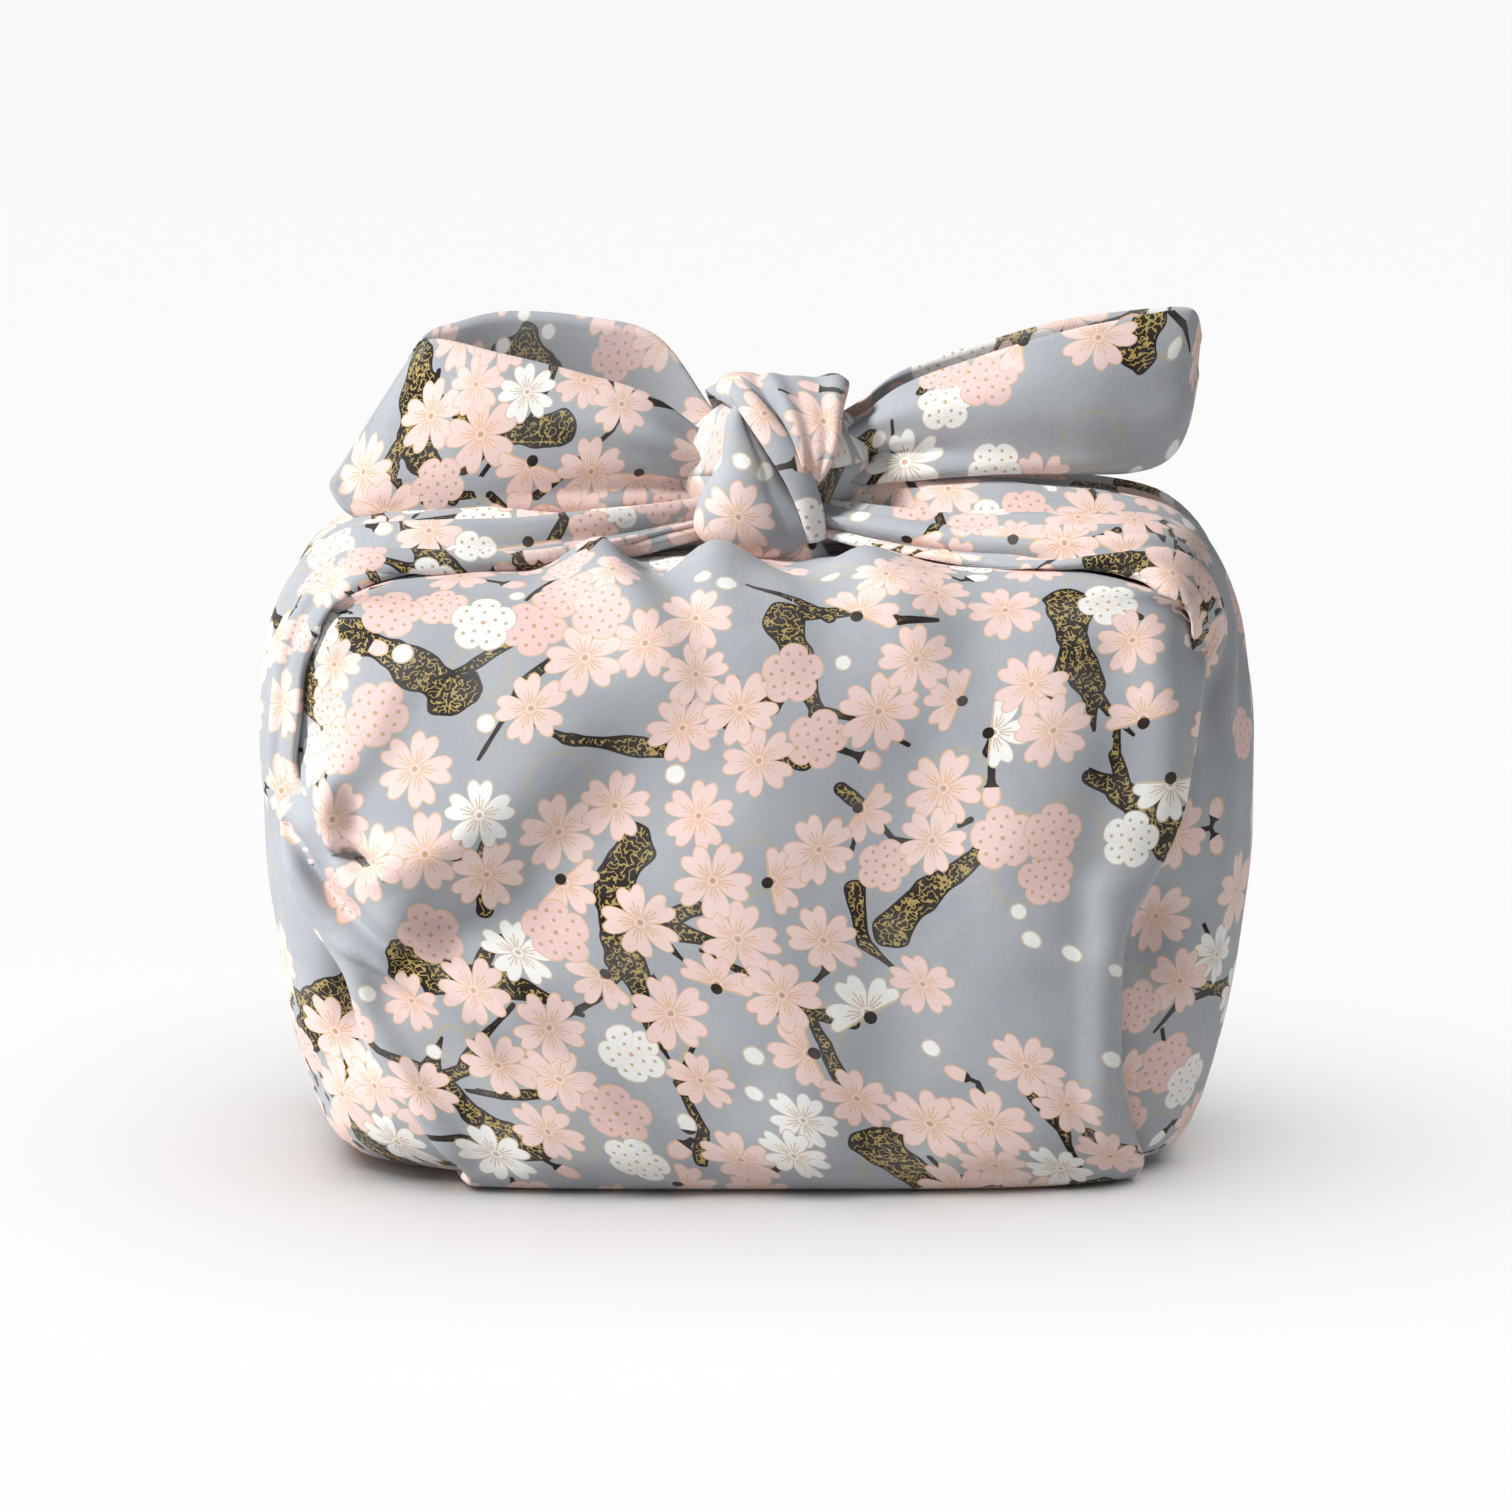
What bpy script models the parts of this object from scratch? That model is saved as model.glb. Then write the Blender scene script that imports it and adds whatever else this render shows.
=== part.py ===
# A square cotton wrapping cloth (furoshiki) folded round a box-like load and tied
# over the top in a square knot with two ears. The cloth is one solid: a hollow bag
# whose top stays open in a slot behind the knot, where the two flaps' hems face
# each other. Its sizes are in millimetres and are scaled to metres when built.
# +X is the bag's right, -Y its front, +Z up, and z = 0 is the surface it rests on.

import math
from collections import namedtuple

import bmesh
import bpy
import numpy as np

MM = 0.001

# Driving dimensions, in millimetres
BAG_HALF_WIDTH = 107.3
BAG_HALF_DEPTH = 62.5
CLOTH_THICKNESS = 2.0
KNOT_HEIGHT = 150.0
KNOT_Y = -9.0

# Points round the bag's rings, how much closer together they lie at its corners, and
# over what part of the ring, with the fine steps that the rings are measured in
RING_POINTS = 88
CORNER_DENSITY = 2.2
CORNER_SPREAD = 0.045
RING_STEPS = 2880

# The folds of the top fade in between these heights
TOP_FOLDS_FROM = 100.0
TOP_FOLDS_FULL = 122.0

# How much wider the inner face takes a groove, and narrower a ridge
INNER_SPREAD = 2.0

COTTON_COLOUR = (0.36, 0.39, 0.43, 1.0)
COTTON_ROUGHNESS = 0.85

# One row for each ring of the bag, from its flat foot over its shoulders to the slot.
# left, right, front and back are distances from the origin, as parts of the bag's
# half width and half depth. square is the power that squares the ring's corners,
# lean is the angle in degrees that the surface faces up from level, and layers is
# the wall in cloth thicknesses, more where the gathered cloth lies on itself.
Ring = namedtuple("Ring", "height left right front back square lean layers")
RINGS = (
    Ring(0.0, 0.785, 0.805, 0.77, 0.77, 3.2, -60, 1.1),
    Ring(1.5, 0.830, 0.850, 0.845, 0.845, 3.4, -45, 1.1),
    Ring(5.0, 0.872, 0.884, 0.895, 0.895, 3.6, -25, 1.0),
    Ring(11.0, 0.900, 0.908, 0.925, 0.93, 3.8, -12, 1.0),
    Ring(20.0, 0.925, 0.932, 0.945, 0.955, 4.0, -6, 1.0),
    Ring(30.0, 0.942, 0.955, 0.955, 0.97, 4.0, -4, 1.0),
    Ring(41.0, 0.960, 0.978, 0.965, 0.985, 4.1, -3, 1.0),
    Ring(53.0, 0.977, 0.995, 0.980, 0.995, 4.2, -2, 1.0),
    Ring(66.0, 0.987, 1.000, 0.990, 1.0, 4.2, 0, 1.0),
    Ring(79.0, 0.995, 1.000, 0.995, 1.0, 4.2, 0, 1.0),
    Ring(91.0, 1.000, 0.998, 0.990, 0.995, 4.2, 2, 1.0),
    Ring(101.0, 0.997, 0.993, 0.980, 0.985, 4.2, 5, 1.1),
    Ring(110.0, 0.985, 0.982, 0.968, 0.97, 4.1, 12, 1.3),
    Ring(117.0, 0.962, 0.963, 0.950, 0.945, 4.0, 25, 1.6),
    Ring(123.0, 0.926, 0.930, 0.910, 0.91, 3.9, 42, 1.8),
    Ring(127.5, 0.880, 0.885, 0.850, 0.86, 3.8, 60, 1.6),
    Ring(130.0, 0.825, 0.830, 0.760, 0.80, 3.6, 75, 1.2),
    Ring(131.0, 0.770, 0.775, 0.610, 0.75, 3.4, 88, 1.0),
    Ring(131.0, 0.715, 0.720, 0.430, 0.70, 3.2, 90, 1.0),
    Ring(131.0, 0.665, 0.670, 0.230, 0.66, 3.0, 90, 1.0),
    Ring(130.5, 0.620, 0.625, 0.000, 0.62, 3.0, 90, 1.0),
    Ring(130.0, 0.580, 0.585, -0.200, 0.59, 3.0, 90, 1.0),
    Ring(129.5, 0.550, 0.555, -0.350, 0.56, 3.0, 90, 1.0),
)

# The rings that the inner face of the cloth repeats, from the slot down to the foot
INNER_RINGS = (22, 20, 18, 17, 16, 15, 14, 13, 11, 9, 7, 5, 3, 2, 1)

# Folds of the walls. Each runs along a line of (x, height) points seen from the
# front or the back. A groove's depth is above zero and a ridge's is below.
WallFold = namedtuple("WallFold", "path width depth")
FRONT_FOLDS = (
    # The front panel's left edge, over the side's gathered cloth
    WallFold(
        ((-88, 128), (-95, 108), (-97.5, 88), (-97, 66), (-89, 53), (-83, 36), (-76, 24), (-67, 8)),
        8.5, 6.0,
    ),
    # The pinch on the left, from which the long folds run
    WallFold(((-97, 76), (-88, 70), (-80, 66)), 6, 5.0),
    WallFold(((-90, 62), (-74, 51), (-60, 38), (-47, 27)), 7, 3.0),
    WallFold(((-90, 80), (-71, 57), (-50, 40), (-32, 24), (-17, 4)), 11, -2.8),
    WallFold(((-84, 54), (-80, 36), (-70, 22)), 8, -2.0),
    WallFold(((-84, 104), (-88, 92), (-84, 82)), 9, -2.2),
    WallFold(((-60, 92), (-44, 108), (-38, 122)), 14, -1.6),
    WallFold(((-50, 78), (-34, 96), (-22, 118)), 12, 1.6),
    # The front panel's right edge and the pocket behind it
    WallFold(((80, 130), (89, 122), (93, 110), (90, 93), (86, 72), (79, 55), (77, 24), (81, 8)), 8.5, 6.0),
    WallFold(((82, 72), (79, 58), (80, 48)), 7, 4.0),
    WallFold(((72, 68), (70, 44), (71, 22), (74, 8)), 8, -1.8),
    WallFold(((60, 118), (68, 96), (66, 74)), 12, -1.4),
)
BACK_FOLDS = (
    WallFold(((-86, 126), (-93, 108), (-95, 84), (-90, 58), (-82, 34), (-74, 8)), 7, 6.0),
    WallFold(((85, 126), (92, 108), (94, 84), (90, 58), (83, 34), (76, 8)), 7, 6.0),
    WallFold(((-88, 80), (-66, 58), (-44, 34), (-22, 8)), 12, -1.0),
    WallFold(((88, 76), (68, 50), (50, 28), (30, 8)), 12, -1.0),
    WallFold(((-34, 122), (-28, 100), (-12, 78)), 12, 1.6),
    WallFold(((36, 122), (30, 98), (22, 80)), 12, 1.6),
)

# Folds of the top, along (x, y) points seen from above: a ridge's rise is above zero.
TopFold = namedtuple("TopFold", "path width rise")
TOP_FOLDS = (
    TopFold(((-34, -42), (-29, -50), (-26, -60)), 8, 4.5),
    TopFold(((-14, -37), (-13, -46), (-12, -58)), 9, 3.0),
    TopFold(((24, -42), (27, -50), (28, -58)), 11, 3.5),
    TopFold(((70, -42), (78, -50), (84, -54)), 12, 2.5),
    TopFold(((-78, -42), (-84, -50), (-88, -54)), 10, 1.5),
    TopFold(((-20, -54), (-19, -62)), 7, -4.0),
    TopFold(((6, -42), (12, -52), (14, -62)), 12, -5.5),
    TopFold(((-50, -46), (-48, -60)), 12, -2.0),
)

# One row for each cross-section of a strand, from inside the shoulder to the knot:
# the place of its crest, then the y and height of its front and back edges, how far
# these edges wrap back round the bag's corners, and the height of its pleats.
Strand = namedtuple("Strand", "x height front front_height back back_height wrap pleat")
LEFT_STRAND = (
    Strand(-100.6, 116.0, -42, 115.0, 42, 115.0, 6.5, 0.0),
    Strand(-100.2, 122.0, -44, 120.5, 43, 120.5, 8.5, 0.4),
    Strand(-98.2, 128.5, -46, 125.5, 43, 126.0, 9.0, 0.8),
    Strand(-94.0, 134.0, -47, 129.3, 42, 130.5, 8.0, 1.2),
    Strand(-86.0, 138.0, -47, 131.5, 39, 133.5, 6.0, 1.6),
    Strand(-74.0, 140.4, -45, 133.0, 33, 135.0, 4.0, 2.0),
    Strand(-60.0, 142.0, -41, 133.6, 24, 136.0, 2.0, 2.4),
    Strand(-45.0, 143.2, -36, 134.4, 16, 137.0, 1.0, 2.7),
    Strand(-31.0, 144.4, -30, 136.0, 10, 138.0, 0.0, 2.8),
    Strand(-18.0, 145.2, -23, 138.5, 6, 140.0, 0.0, 2.8),
    Strand(-7.0, 146.0, -17, 141.0, 1, 142.0, 0.0, 2.4),
)
RIGHT_STRAND = (
    Strand(100.8, 116.0, -42, 115.0, 42, 115.0, 6.5, 0.0),
    Strand(100.6, 122.5, -44, 121.0, 43, 121.0, 8.5, 0.4),
    Strand(98.8, 129.5, -46, 126.5, 43, 127.0, 9.0, 0.9),
    Strand(95.0, 136.0, -47, 130.5, 42, 131.5, 8.0, 1.4),
    Strand(87.5, 140.4, -47, 132.3, 39, 134.5, 6.0, 1.8),
    Strand(76.0, 143.2, -45, 133.2, 33, 136.0, 4.0, 2.2),
    Strand(61.0, 144.6, -42, 133.8, 24, 137.0, 2.0, 2.6),
    Strand(46.0, 145.2, -37, 134.2, 16, 138.0, 1.0, 3.0),
    Strand(32.0, 145.8, -31, 135.6, 10, 139.0, 0.0, 3.0),
    Strand(20.0, 146.4, -24, 138.0, 6, 141.0, 0.0, 2.8),
    Strand(9.0, 147.0, -17, 141.5, 1, 143.0, 0.0, 2.4),
)
STRAND_PLEATS = 5
STRAND_THICKNESS = 1.6

# One row for each cross-section of an ear, from inside the knot to its hem. The cloth
# runs from the front layer's top (front_x, front_y, front_z) down round the foot and
# up the rear layer; belly is how far both layers stand out from the line between.
Ear = namedtuple("Ear", "front_x front_y front_z foot_x foot_y foot_z rear_x rear_y rear_z belly")
LEFT_EAR = (
    Ear(-2, -11, 153, -2, -8, 147, -2, -3, 154, 2),
    Ear(-11, -13, 158, -12, -8, 142.5, -11, -1, 162, 4),
    Ear(-23, -14, 166, -24, -9, 141.5, -22, 1, 176, 6),
    Ear(-39, -13, 171, -42, -9, 140.5, -38, 2, 181, 7),
    Ear(-56, -12, 175, -61, -9, 139.5, -54, 2, 182.5, 6),
    Ear(-67, -10, 175.5, -79, -8, 139.5, -66, 1, 179.5, 4),
    Ear(-73, -8, 173.5, -93, -6, 142, -73, 0, 176, 2),
)
RIGHT_EAR = (
    Ear(8, -10, 155, 8, -8, 148, 8, -3, 156, 2),
    Ear(22, -10, 161, 21, -8, 147.5, 22, -2, 163, 4),
    Ear(32, -11, 167.5, 34, -8, 148, 32, 1, 170, 6),
    Ear(49, -11, 173.5, 52, -9, 149, 49, 2, 175.5, 6),
    Ear(67, -10, 178.5, 69, -8, 149, 67, 2, 180.5, 5),
    Ear(83, -7, 181, 81, -6, 149, 84, 2, 182.5, 4),
    Ear(95, -3, 182, 88, -3, 152, 96, 2, 183, 2),
)
EAR_THICKNESS = 2.0
EAR_LAYER_STEPS = 4

# The knot is a core of gathered cloth, wrapped by a band that runs over it from
# below the front to the back, with the rounded front lobe hanging before it.
# Core rows run along x: centre height, half depth and half height.
Core = namedtuple("Core", "x height half_depth half_height")
CORE = (
    Core(-17, 148.5, 4.0, 5.0),
    Core(-13, 149.0, 8.0, 10.0),
    Core(-7, 149.5, 11.5, 14.5),
    Core(1, 150.0, 12.5, 16.0),
    Core(10, 150.5, 12.0, 15.5),
    Core(18, 151.0, 9.0, 11.5),
    Core(24, 152.0, 5.0, 6.5),
)
CORE_SIDES = 20
CORE_FOLDS = 5
CORE_FOLD_DEPTH = 0.07

# Band rows run round the core: angle up from straight ahead in degrees, middle x,
# half width, and the radii ahead of and above the knot's centre.
Band = namedtuple("Band", "angle x half_width reach rise")
BAND = (
    Band(-62, 6.0, 6.5, 13.0, 15.5),
    Band(-38, 7.5, 9.0, 14.5, 16.5),
    Band(-12, 8.0, 10.5, 15.0, 17.5),
    Band(14, 7.0, 12.0, 15.0, 18.5),
    Band(42, 5.5, 13.5, 15.0, 19.6),
    Band(72, 4.5, 14.5, 14.5, 20.2),
    Band(104, 4.0, 14.0, 14.0, 19.5),
    Band(138, 3.5, 12.5, 14.0, 18.0),
    Band(172, 3.5, 11.0, 14.0, 17.0),
    Band(204, 3.5, 9.0, 13.5, 16.0),
)
BAND_STEPS = 10
BAND_THICKNESS = 3.0
BAND_FOLD = 1.1
BAND_EDGE_DROP = 2.2

# Lobe rows run down the front: height, middle x, y, half width and half thickness.
Lobe = namedtuple("Lobe", "height x y half_width half_thickness")
LOBE = (
    Lobe(163.0, -3.5, -19.0, 1.5, 2.0),
    Lobe(157.0, -4.5, -21.5, 5.0, 3.4),
    Lobe(150.0, -3.5, -22.5, 8.5, 4.4),
    Lobe(143.0, -1.8, -23.0, 11.5, 5.2),
    Lobe(137.0, -0.8, -22.5, 12.2, 5.2),
    Lobe(132.5, 0.6, -21.0, 9.5, 4.2),
    Lobe(129.8, 1.6, -19.5, 5.0, 2.6),
)
LOBE_SIDES = 14


def clear_scene():
    for old in list(bpy.data.objects):
        bpy.data.objects.remove(old, do_unlink=True)


def cotton_material():
    material = bpy.data.materials.new("cotton")
    material.use_nodes = True
    shader = material.node_tree.nodes["Principled BSDF"]
    shader.inputs["Base Color"].default_value = COTTON_COLOUR
    shader.inputs["Roughness"].default_value = COTTON_ROUGHNESS
    shader.inputs["Metallic"].default_value = 0.0
    return material


def smooth_fall(distance, width):
    # 1 on the fold's line, falling to 0 at its width
    part = np.clip(distance / width, 0.0, 1.0)
    return 0.5 + 0.5 * np.cos(math.pi * part)


def distance_to_path(first, second, path):
    # How far each point (first, second) lies from a line of points
    nearest = np.full(first.shape, np.inf)
    for start, end in zip(path[:-1], path[1:]):
        run = (end[0] - start[0], end[1] - start[1])
        length = run[0] ** 2 + run[1] ** 2
        along = ((first - start[0]) * run[0] + (second - start[1]) * run[1]) / length
        along = np.clip(along, 0.0, 1.0)
        gap = np.hypot(first - start[0] - along * run[0], second - start[1] - along * run[1])
        nearest = np.minimum(nearest, gap)
    return nearest


def wall_depth(x, height, folds, spread):
    # Grooves are taken wider and ridges narrower for the inner face of the cloth
    depth = np.zeros_like(x)
    for fold in folds:
        width = fold.width + spread * math.copysign(1.0, fold.depth)
        depth += fold.depth * smooth_fall(distance_to_path(x, height, fold.path), width)
    return depth


def top_rise(x, y):
    rise = np.zeros_like(x)
    for fold in TOP_FOLDS:
        rise += fold.rise * smooth_fall(distance_to_path(x, y, fold.path), fold.width)
    return rise


def even_ring(ring, inset):
    # A squared ellipse with its points closer together at the four corners
    centre_x = 0.5 * (ring.right - ring.left) * BAG_HALF_WIDTH
    centre_y = 0.5 * (ring.back - ring.front) * BAG_HALF_DEPTH
    half_x = 0.5 * (ring.right + ring.left) * BAG_HALF_WIDTH - inset
    half_y = 0.5 * (ring.back + ring.front) * BAG_HALF_DEPTH - inset
    angle = np.linspace(0.0, 2.0 * math.pi, RING_STEPS + 1) - 0.5 * math.pi
    power = 2.0 / ring.square
    x = half_x * np.sign(np.cos(angle)) * np.abs(np.cos(angle)) ** power
    y = half_y * np.sign(np.sin(angle)) * np.abs(np.sin(angle)) ** power
    step = np.hypot(np.diff(x), np.diff(y))
    travelled = np.concatenate([[0.0], np.cumsum(step)])
    travelled /= travelled[-1]
    corner = np.argmax(np.abs(x * y / (half_x * half_y)))
    corner_at = min(travelled[corner] % 0.5, 0.5 - travelled[corner] % 0.5)
    density = np.ones_like(travelled)
    for place in (corner_at, 0.5 - corner_at, 0.5 + corner_at, 1.0 - corner_at):
        density += CORNER_DENSITY * np.exp(-(((travelled - place) / CORNER_SPREAD) ** 2))
    weight = np.concatenate([[0.0], np.cumsum(density[1:] * np.diff(travelled))])
    weight /= weight[-1]
    wanted = np.arange(RING_POINTS) / RING_POINTS
    x = np.interp(wanted, weight, x)
    y = np.interp(wanted, weight, y)
    return x + centre_x, y + centre_y


def bag_ring(ring, inner):
    lean = math.radians(ring.lean)
    thickness = CLOTH_THICKNESS * ring.layers if inner else 0.0
    inset = thickness * math.cos(lean)
    x, y = even_ring(ring, inset)
    height = np.full_like(x, ring.height - thickness * math.sin(lean))
    spread = INNER_SPREAD if inner else 0.0
    depth = np.where(
        y < 0,
        wall_depth(x, height, FRONT_FOLDS, spread),
        wall_depth(x, height, BACK_FOLDS, spread),
    )
    level = math.cos(lean) ** 2
    ahead = np.roll(np.stack([x, y], 1), -1, 0) - np.roll(np.stack([x, y], 1), 1, 0)
    outward = np.stack([ahead[:, 1], -ahead[:, 0]], 1)
    outward /= np.linalg.norm(outward, axis=1)[:, None]
    x = x - outward[:, 0] * depth * level
    y = y - outward[:, 1] * depth * level
    on_top = np.clip((ring.height - TOP_FOLDS_FROM) / (TOP_FOLDS_FULL - TOP_FOLDS_FROM), 0.0, 1.0)
    height = height + top_rise(x, y) * on_top
    return np.stack([x, y, height], 1)


def new_solid(name, points, faces):
    mesh = bpy.data.meshes.new(name)
    mesh.from_pydata([tuple(p) for p in np.asarray(points) * MM], [], faces)
    mesh.update()
    solid = bpy.data.objects.new(name, mesh)
    bpy.context.scene.collection.objects.link(solid)
    return solid


def loft_rings(name, rings):
    # A closed solid through rings of equal count, with flat ends
    count = len(rings[0])
    faces = []
    for level in range(len(rings) - 1):
        for place in range(count):
            after = (place + 1) % count
            low = level * count
            high = low + count
            faces.append((low + place, low + after, high + after, high + place))
    last = (len(rings) - 1) * count
    faces.append(tuple(range(count - 1, -1, -1)))
    faces.append(tuple(last + place for place in range(count)))
    return new_solid(name, np.concatenate(rings), faces)


def thick_sheet(name, grid, thickness):
    # A sheet of cloth: a grid of points given a thickness, closed along its edges
    along = np.gradient(grid, axis=0)
    across = np.gradient(grid, axis=1)
    facing = np.cross(along, across)
    facing /= np.linalg.norm(facing, axis=2)[:, :, None]
    rings = []
    for row, normal in zip(grid, facing):
        upper = row + 0.5 * thickness * normal
        lower = row - 0.5 * thickness * normal
        rings.append(np.concatenate([upper, lower[::-1]]))
    return loft_rings(name, rings)


def outward_faces(solid):
    work = bmesh.new()
    work.from_mesh(solid.data)
    bmesh.ops.recalc_face_normals(work, faces=work.faces)
    work.to_mesh(solid.data)
    work.free()


def build_bag():
    rings = [bag_ring(ring, False) for ring in RINGS]
    rings += [bag_ring(RINGS[index], True) for index in INNER_RINGS]
    floor = rings[-1].copy()
    floor[:, 2] = CLOTH_THICKNESS
    rings[-1] = floor
    return loft_rings("furoshiki", rings)


def build_strand(name, rows):
    places = np.linspace(-1.0, 1.0, 4 * STRAND_PLEATS + 1)
    wave = np.cos(np.arange(len(places)) * 0.5 * math.pi) * (1.0 - places**6)
    away = np.abs(places) ** 2.4
    grid = []
    for row in rows:
        edge = np.where(places < 0, row.front_height, row.back_height)
        middle = 0.5 * (row.front + row.back)
        y = middle + 0.5 * (row.back - row.front) * places
        x = row.x - math.copysign(row.wrap, row.x) * np.abs(places) ** 4
        height = row.height + (edge - row.height) * away + row.pleat * wave
        grid.append(np.stack([x, y, height], 1))
    return thick_sheet(name, np.array(grid), STRAND_THICKNESS)


def build_ear(name, rows):
    grid = []
    for row in rows:
        top = np.array([row.front_x, row.front_y, row.front_z])
        foot = np.array([row.foot_x, row.foot_y, row.foot_z])
        rear = np.array([row.rear_x, row.rear_y, row.rear_z])
        points = []
        for step in range(EAR_LAYER_STEPS):
            part = step / EAR_LAYER_STEPS
            out = np.array([0.0, -row.belly * math.sin(math.pi * part), 0.0])
            points.append(top + (foot - top) * part + out)
        for step in range(EAR_LAYER_STEPS + 1):
            part = step / EAR_LAYER_STEPS
            out = np.array([0.0, row.belly * math.sin(math.pi * part), 0.0])
            points.append(foot + (rear - foot) * part + out)
        grid.append(points)
    return thick_sheet(name, np.array(grid), EAR_THICKNESS)


def build_core():
    rings = []
    for row in CORE:
        turn = np.arange(CORE_SIDES) * 2.0 * math.pi / CORE_SIDES
        fold = 1.0 - CORE_FOLD_DEPTH * (0.5 + 0.5 * np.cos(CORE_FOLDS * turn))
        y = KNOT_Y + row.half_depth * fold * np.cos(turn)
        height = row.height + row.half_height * fold * np.sin(turn)
        rings.append(np.stack([np.full_like(y, row.x), y, height], 1))
    return loft_rings("knot_core", rings)


def build_band():
    places = np.linspace(-1.0, 1.0, BAND_STEPS + 1)
    crease = BAND_FOLD * np.cos(places * 1.5 * math.pi)
    edge = BAND_EDGE_DROP * np.abs(places) ** 4
    grid = []
    for row in BAND:
        angle = math.radians(row.angle)
        out = crease - edge
        y = KNOT_Y - (row.reach + out) * math.cos(angle)
        height = KNOT_HEIGHT + (row.rise + out) * math.sin(angle)
        x = row.x + row.half_width * places
        grid.append(np.stack([x, y, height], 1))
    return thick_sheet("knot_band", np.array(grid), BAND_THICKNESS)


def build_lobe():
    rings = []
    for row in LOBE:
        turn = np.arange(LOBE_SIDES) * 2.0 * math.pi / LOBE_SIDES
        x = row.x + row.half_width * np.cos(turn)
        y = row.y + row.half_thickness * np.sin(turn)
        rings.append(np.stack([x, y, np.full_like(x, row.height)], 1))
    return loft_rings("knot_lobe", rings)


def join_solid(bag, other):
    join = bag.modifiers.new("join " + other.name, "BOOLEAN")
    join.operation = "UNION"
    join.solver = "EXACT"
    join.object = other
    other.hide_render = True
    other.display_type = "WIRE"


def main():
    clear_scene()
    bag = build_bag()
    bag.data.materials.append(cotton_material())
    outward_faces(bag)
    parts = (
        build_core(),
        build_band(),
        build_lobe(),
        build_strand("left_strand", LEFT_STRAND),
        build_strand("right_strand", RIGHT_STRAND),
        build_ear("left_ear", LEFT_EAR),
        build_ear("right_ear", RIGHT_EAR),
    )
    for part in parts:
        outward_faces(part)
        join_solid(bag, part)


main()
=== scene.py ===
import math

import bpy
import numpy as np
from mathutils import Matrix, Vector


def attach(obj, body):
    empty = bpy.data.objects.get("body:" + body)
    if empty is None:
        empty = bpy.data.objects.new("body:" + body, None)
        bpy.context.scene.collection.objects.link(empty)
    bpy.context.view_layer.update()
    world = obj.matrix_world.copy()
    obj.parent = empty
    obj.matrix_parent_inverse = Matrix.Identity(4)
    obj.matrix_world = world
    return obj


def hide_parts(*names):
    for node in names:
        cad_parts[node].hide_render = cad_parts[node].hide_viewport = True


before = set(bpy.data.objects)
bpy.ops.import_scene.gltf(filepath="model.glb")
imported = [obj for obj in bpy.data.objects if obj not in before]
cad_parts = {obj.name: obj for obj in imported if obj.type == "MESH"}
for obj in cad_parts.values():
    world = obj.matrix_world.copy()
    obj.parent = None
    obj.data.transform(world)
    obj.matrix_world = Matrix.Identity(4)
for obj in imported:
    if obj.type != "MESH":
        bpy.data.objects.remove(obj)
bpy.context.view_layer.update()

# A furoshiki bag: one square of printed cotton folded round a box-like load and tied
# over the top in a square knot. Tables are in millimetres, meshes in metres.
mm = 0.001


# Shaping helpers

def throughRows(rows, count):
    # A smooth run through the table's rows, count steps in all
    rows = np.array(rows, dtype=float)
    last = len(rows) - 1
    at = np.linspace(0.0, last, count)
    low = np.clip(np.floor(at).astype(int), 0, last - 1)
    part = (at - low).reshape((-1,) + (1,) * (rows.ndim - 1))
    before = rows[np.clip(low - 1, 0, last)]
    start = rows[low]
    end = rows[low + 1]
    after = rows[np.clip(low + 2, 0, last)]
    slopeIn = 0.5 * (end - before)
    slopeOut = 0.5 * (after - start)
    cube = part ** 3
    square = part ** 2
    return (
        start * (2 * cube - 3 * square + 1)
        + slopeIn * (cube - 2 * square + part)
        + end * (3 * square - 2 * cube)
        + slopeOut * (cube - square)
    )


def throughNet(net, rows, columns):
    # A smooth sheet through a small net of given points
    along = throughRows(net, rows)
    return np.swapaxes(throughRows(np.swapaxes(along, 0, 1), columns), 0, 1)


def smoothStep(low, high, value):
    part = np.clip((value - low) / (high - low), 0.0, 1.0)
    return part * part * (3.0 - 2.0 * part)


def foldHeight(across, along, folds):
    # How far the cloth stands out, from folds drawn as lines on the flat cloth. Each has
    # its own height at both ends, a width on its left and right, and a sharpness.
    total = np.zeros_like(across)
    for path, heights, widths, sharp in folds:
        lengths = [math.dist(a, b) for a, b in zip(path[:-1], path[1:])]
        whole = sum(lengths)
        gone = 0.0
        best = np.full(across.shape, np.inf)
        lift = np.zeros_like(across)
        for (x0, s0), (x1, s1), length in zip(path[:-1], path[1:], lengths):
            runX = (x1 - x0) / length
            runS = (s1 - s0) / length
            ahead = (across - x0) * runX + (along - s0) * runS
            held = np.clip(ahead, 0.0, length)
            offX = across - x0 - held * runX
            offS = along - s0 - held * runS
            side = runX * offS - runS * offX
            gap = np.maximum(np.hypot(offX, offS), 1e-6)
            width = 0.5 * (widths[0] + widths[1]) + 0.5 * (widths[0] - widths[1]) * side / gap
            share = np.clip(gap / width, 0.0, 1.0)
            height = heights[0] + (heights[1] - heights[0]) * (gone + held) / whole
            shape = (0.5 + 0.5 * np.cos(math.pi * share)) * (1 - sharp) + sharp * (1 - share) ** 1.7
            nearer = share < best
            best = np.where(nearer, share, best)
            lift = np.where(nearer, height * shape, lift)
            gone += length
        total += lift
    return total


def dentDepth(across, along, dents):
    # Small hollows, each at a place on the flat cloth, with a depth and two radii
    total = np.zeros(np.broadcast(across, along).shape)
    for x, s, depth, radiusX, radiusS in dents:
        far = np.hypot((across - x) / radiusX, (along - s) / radiusS)
        total -= depth * np.exp(-far ** 2 * 1.6)
    return total


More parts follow.
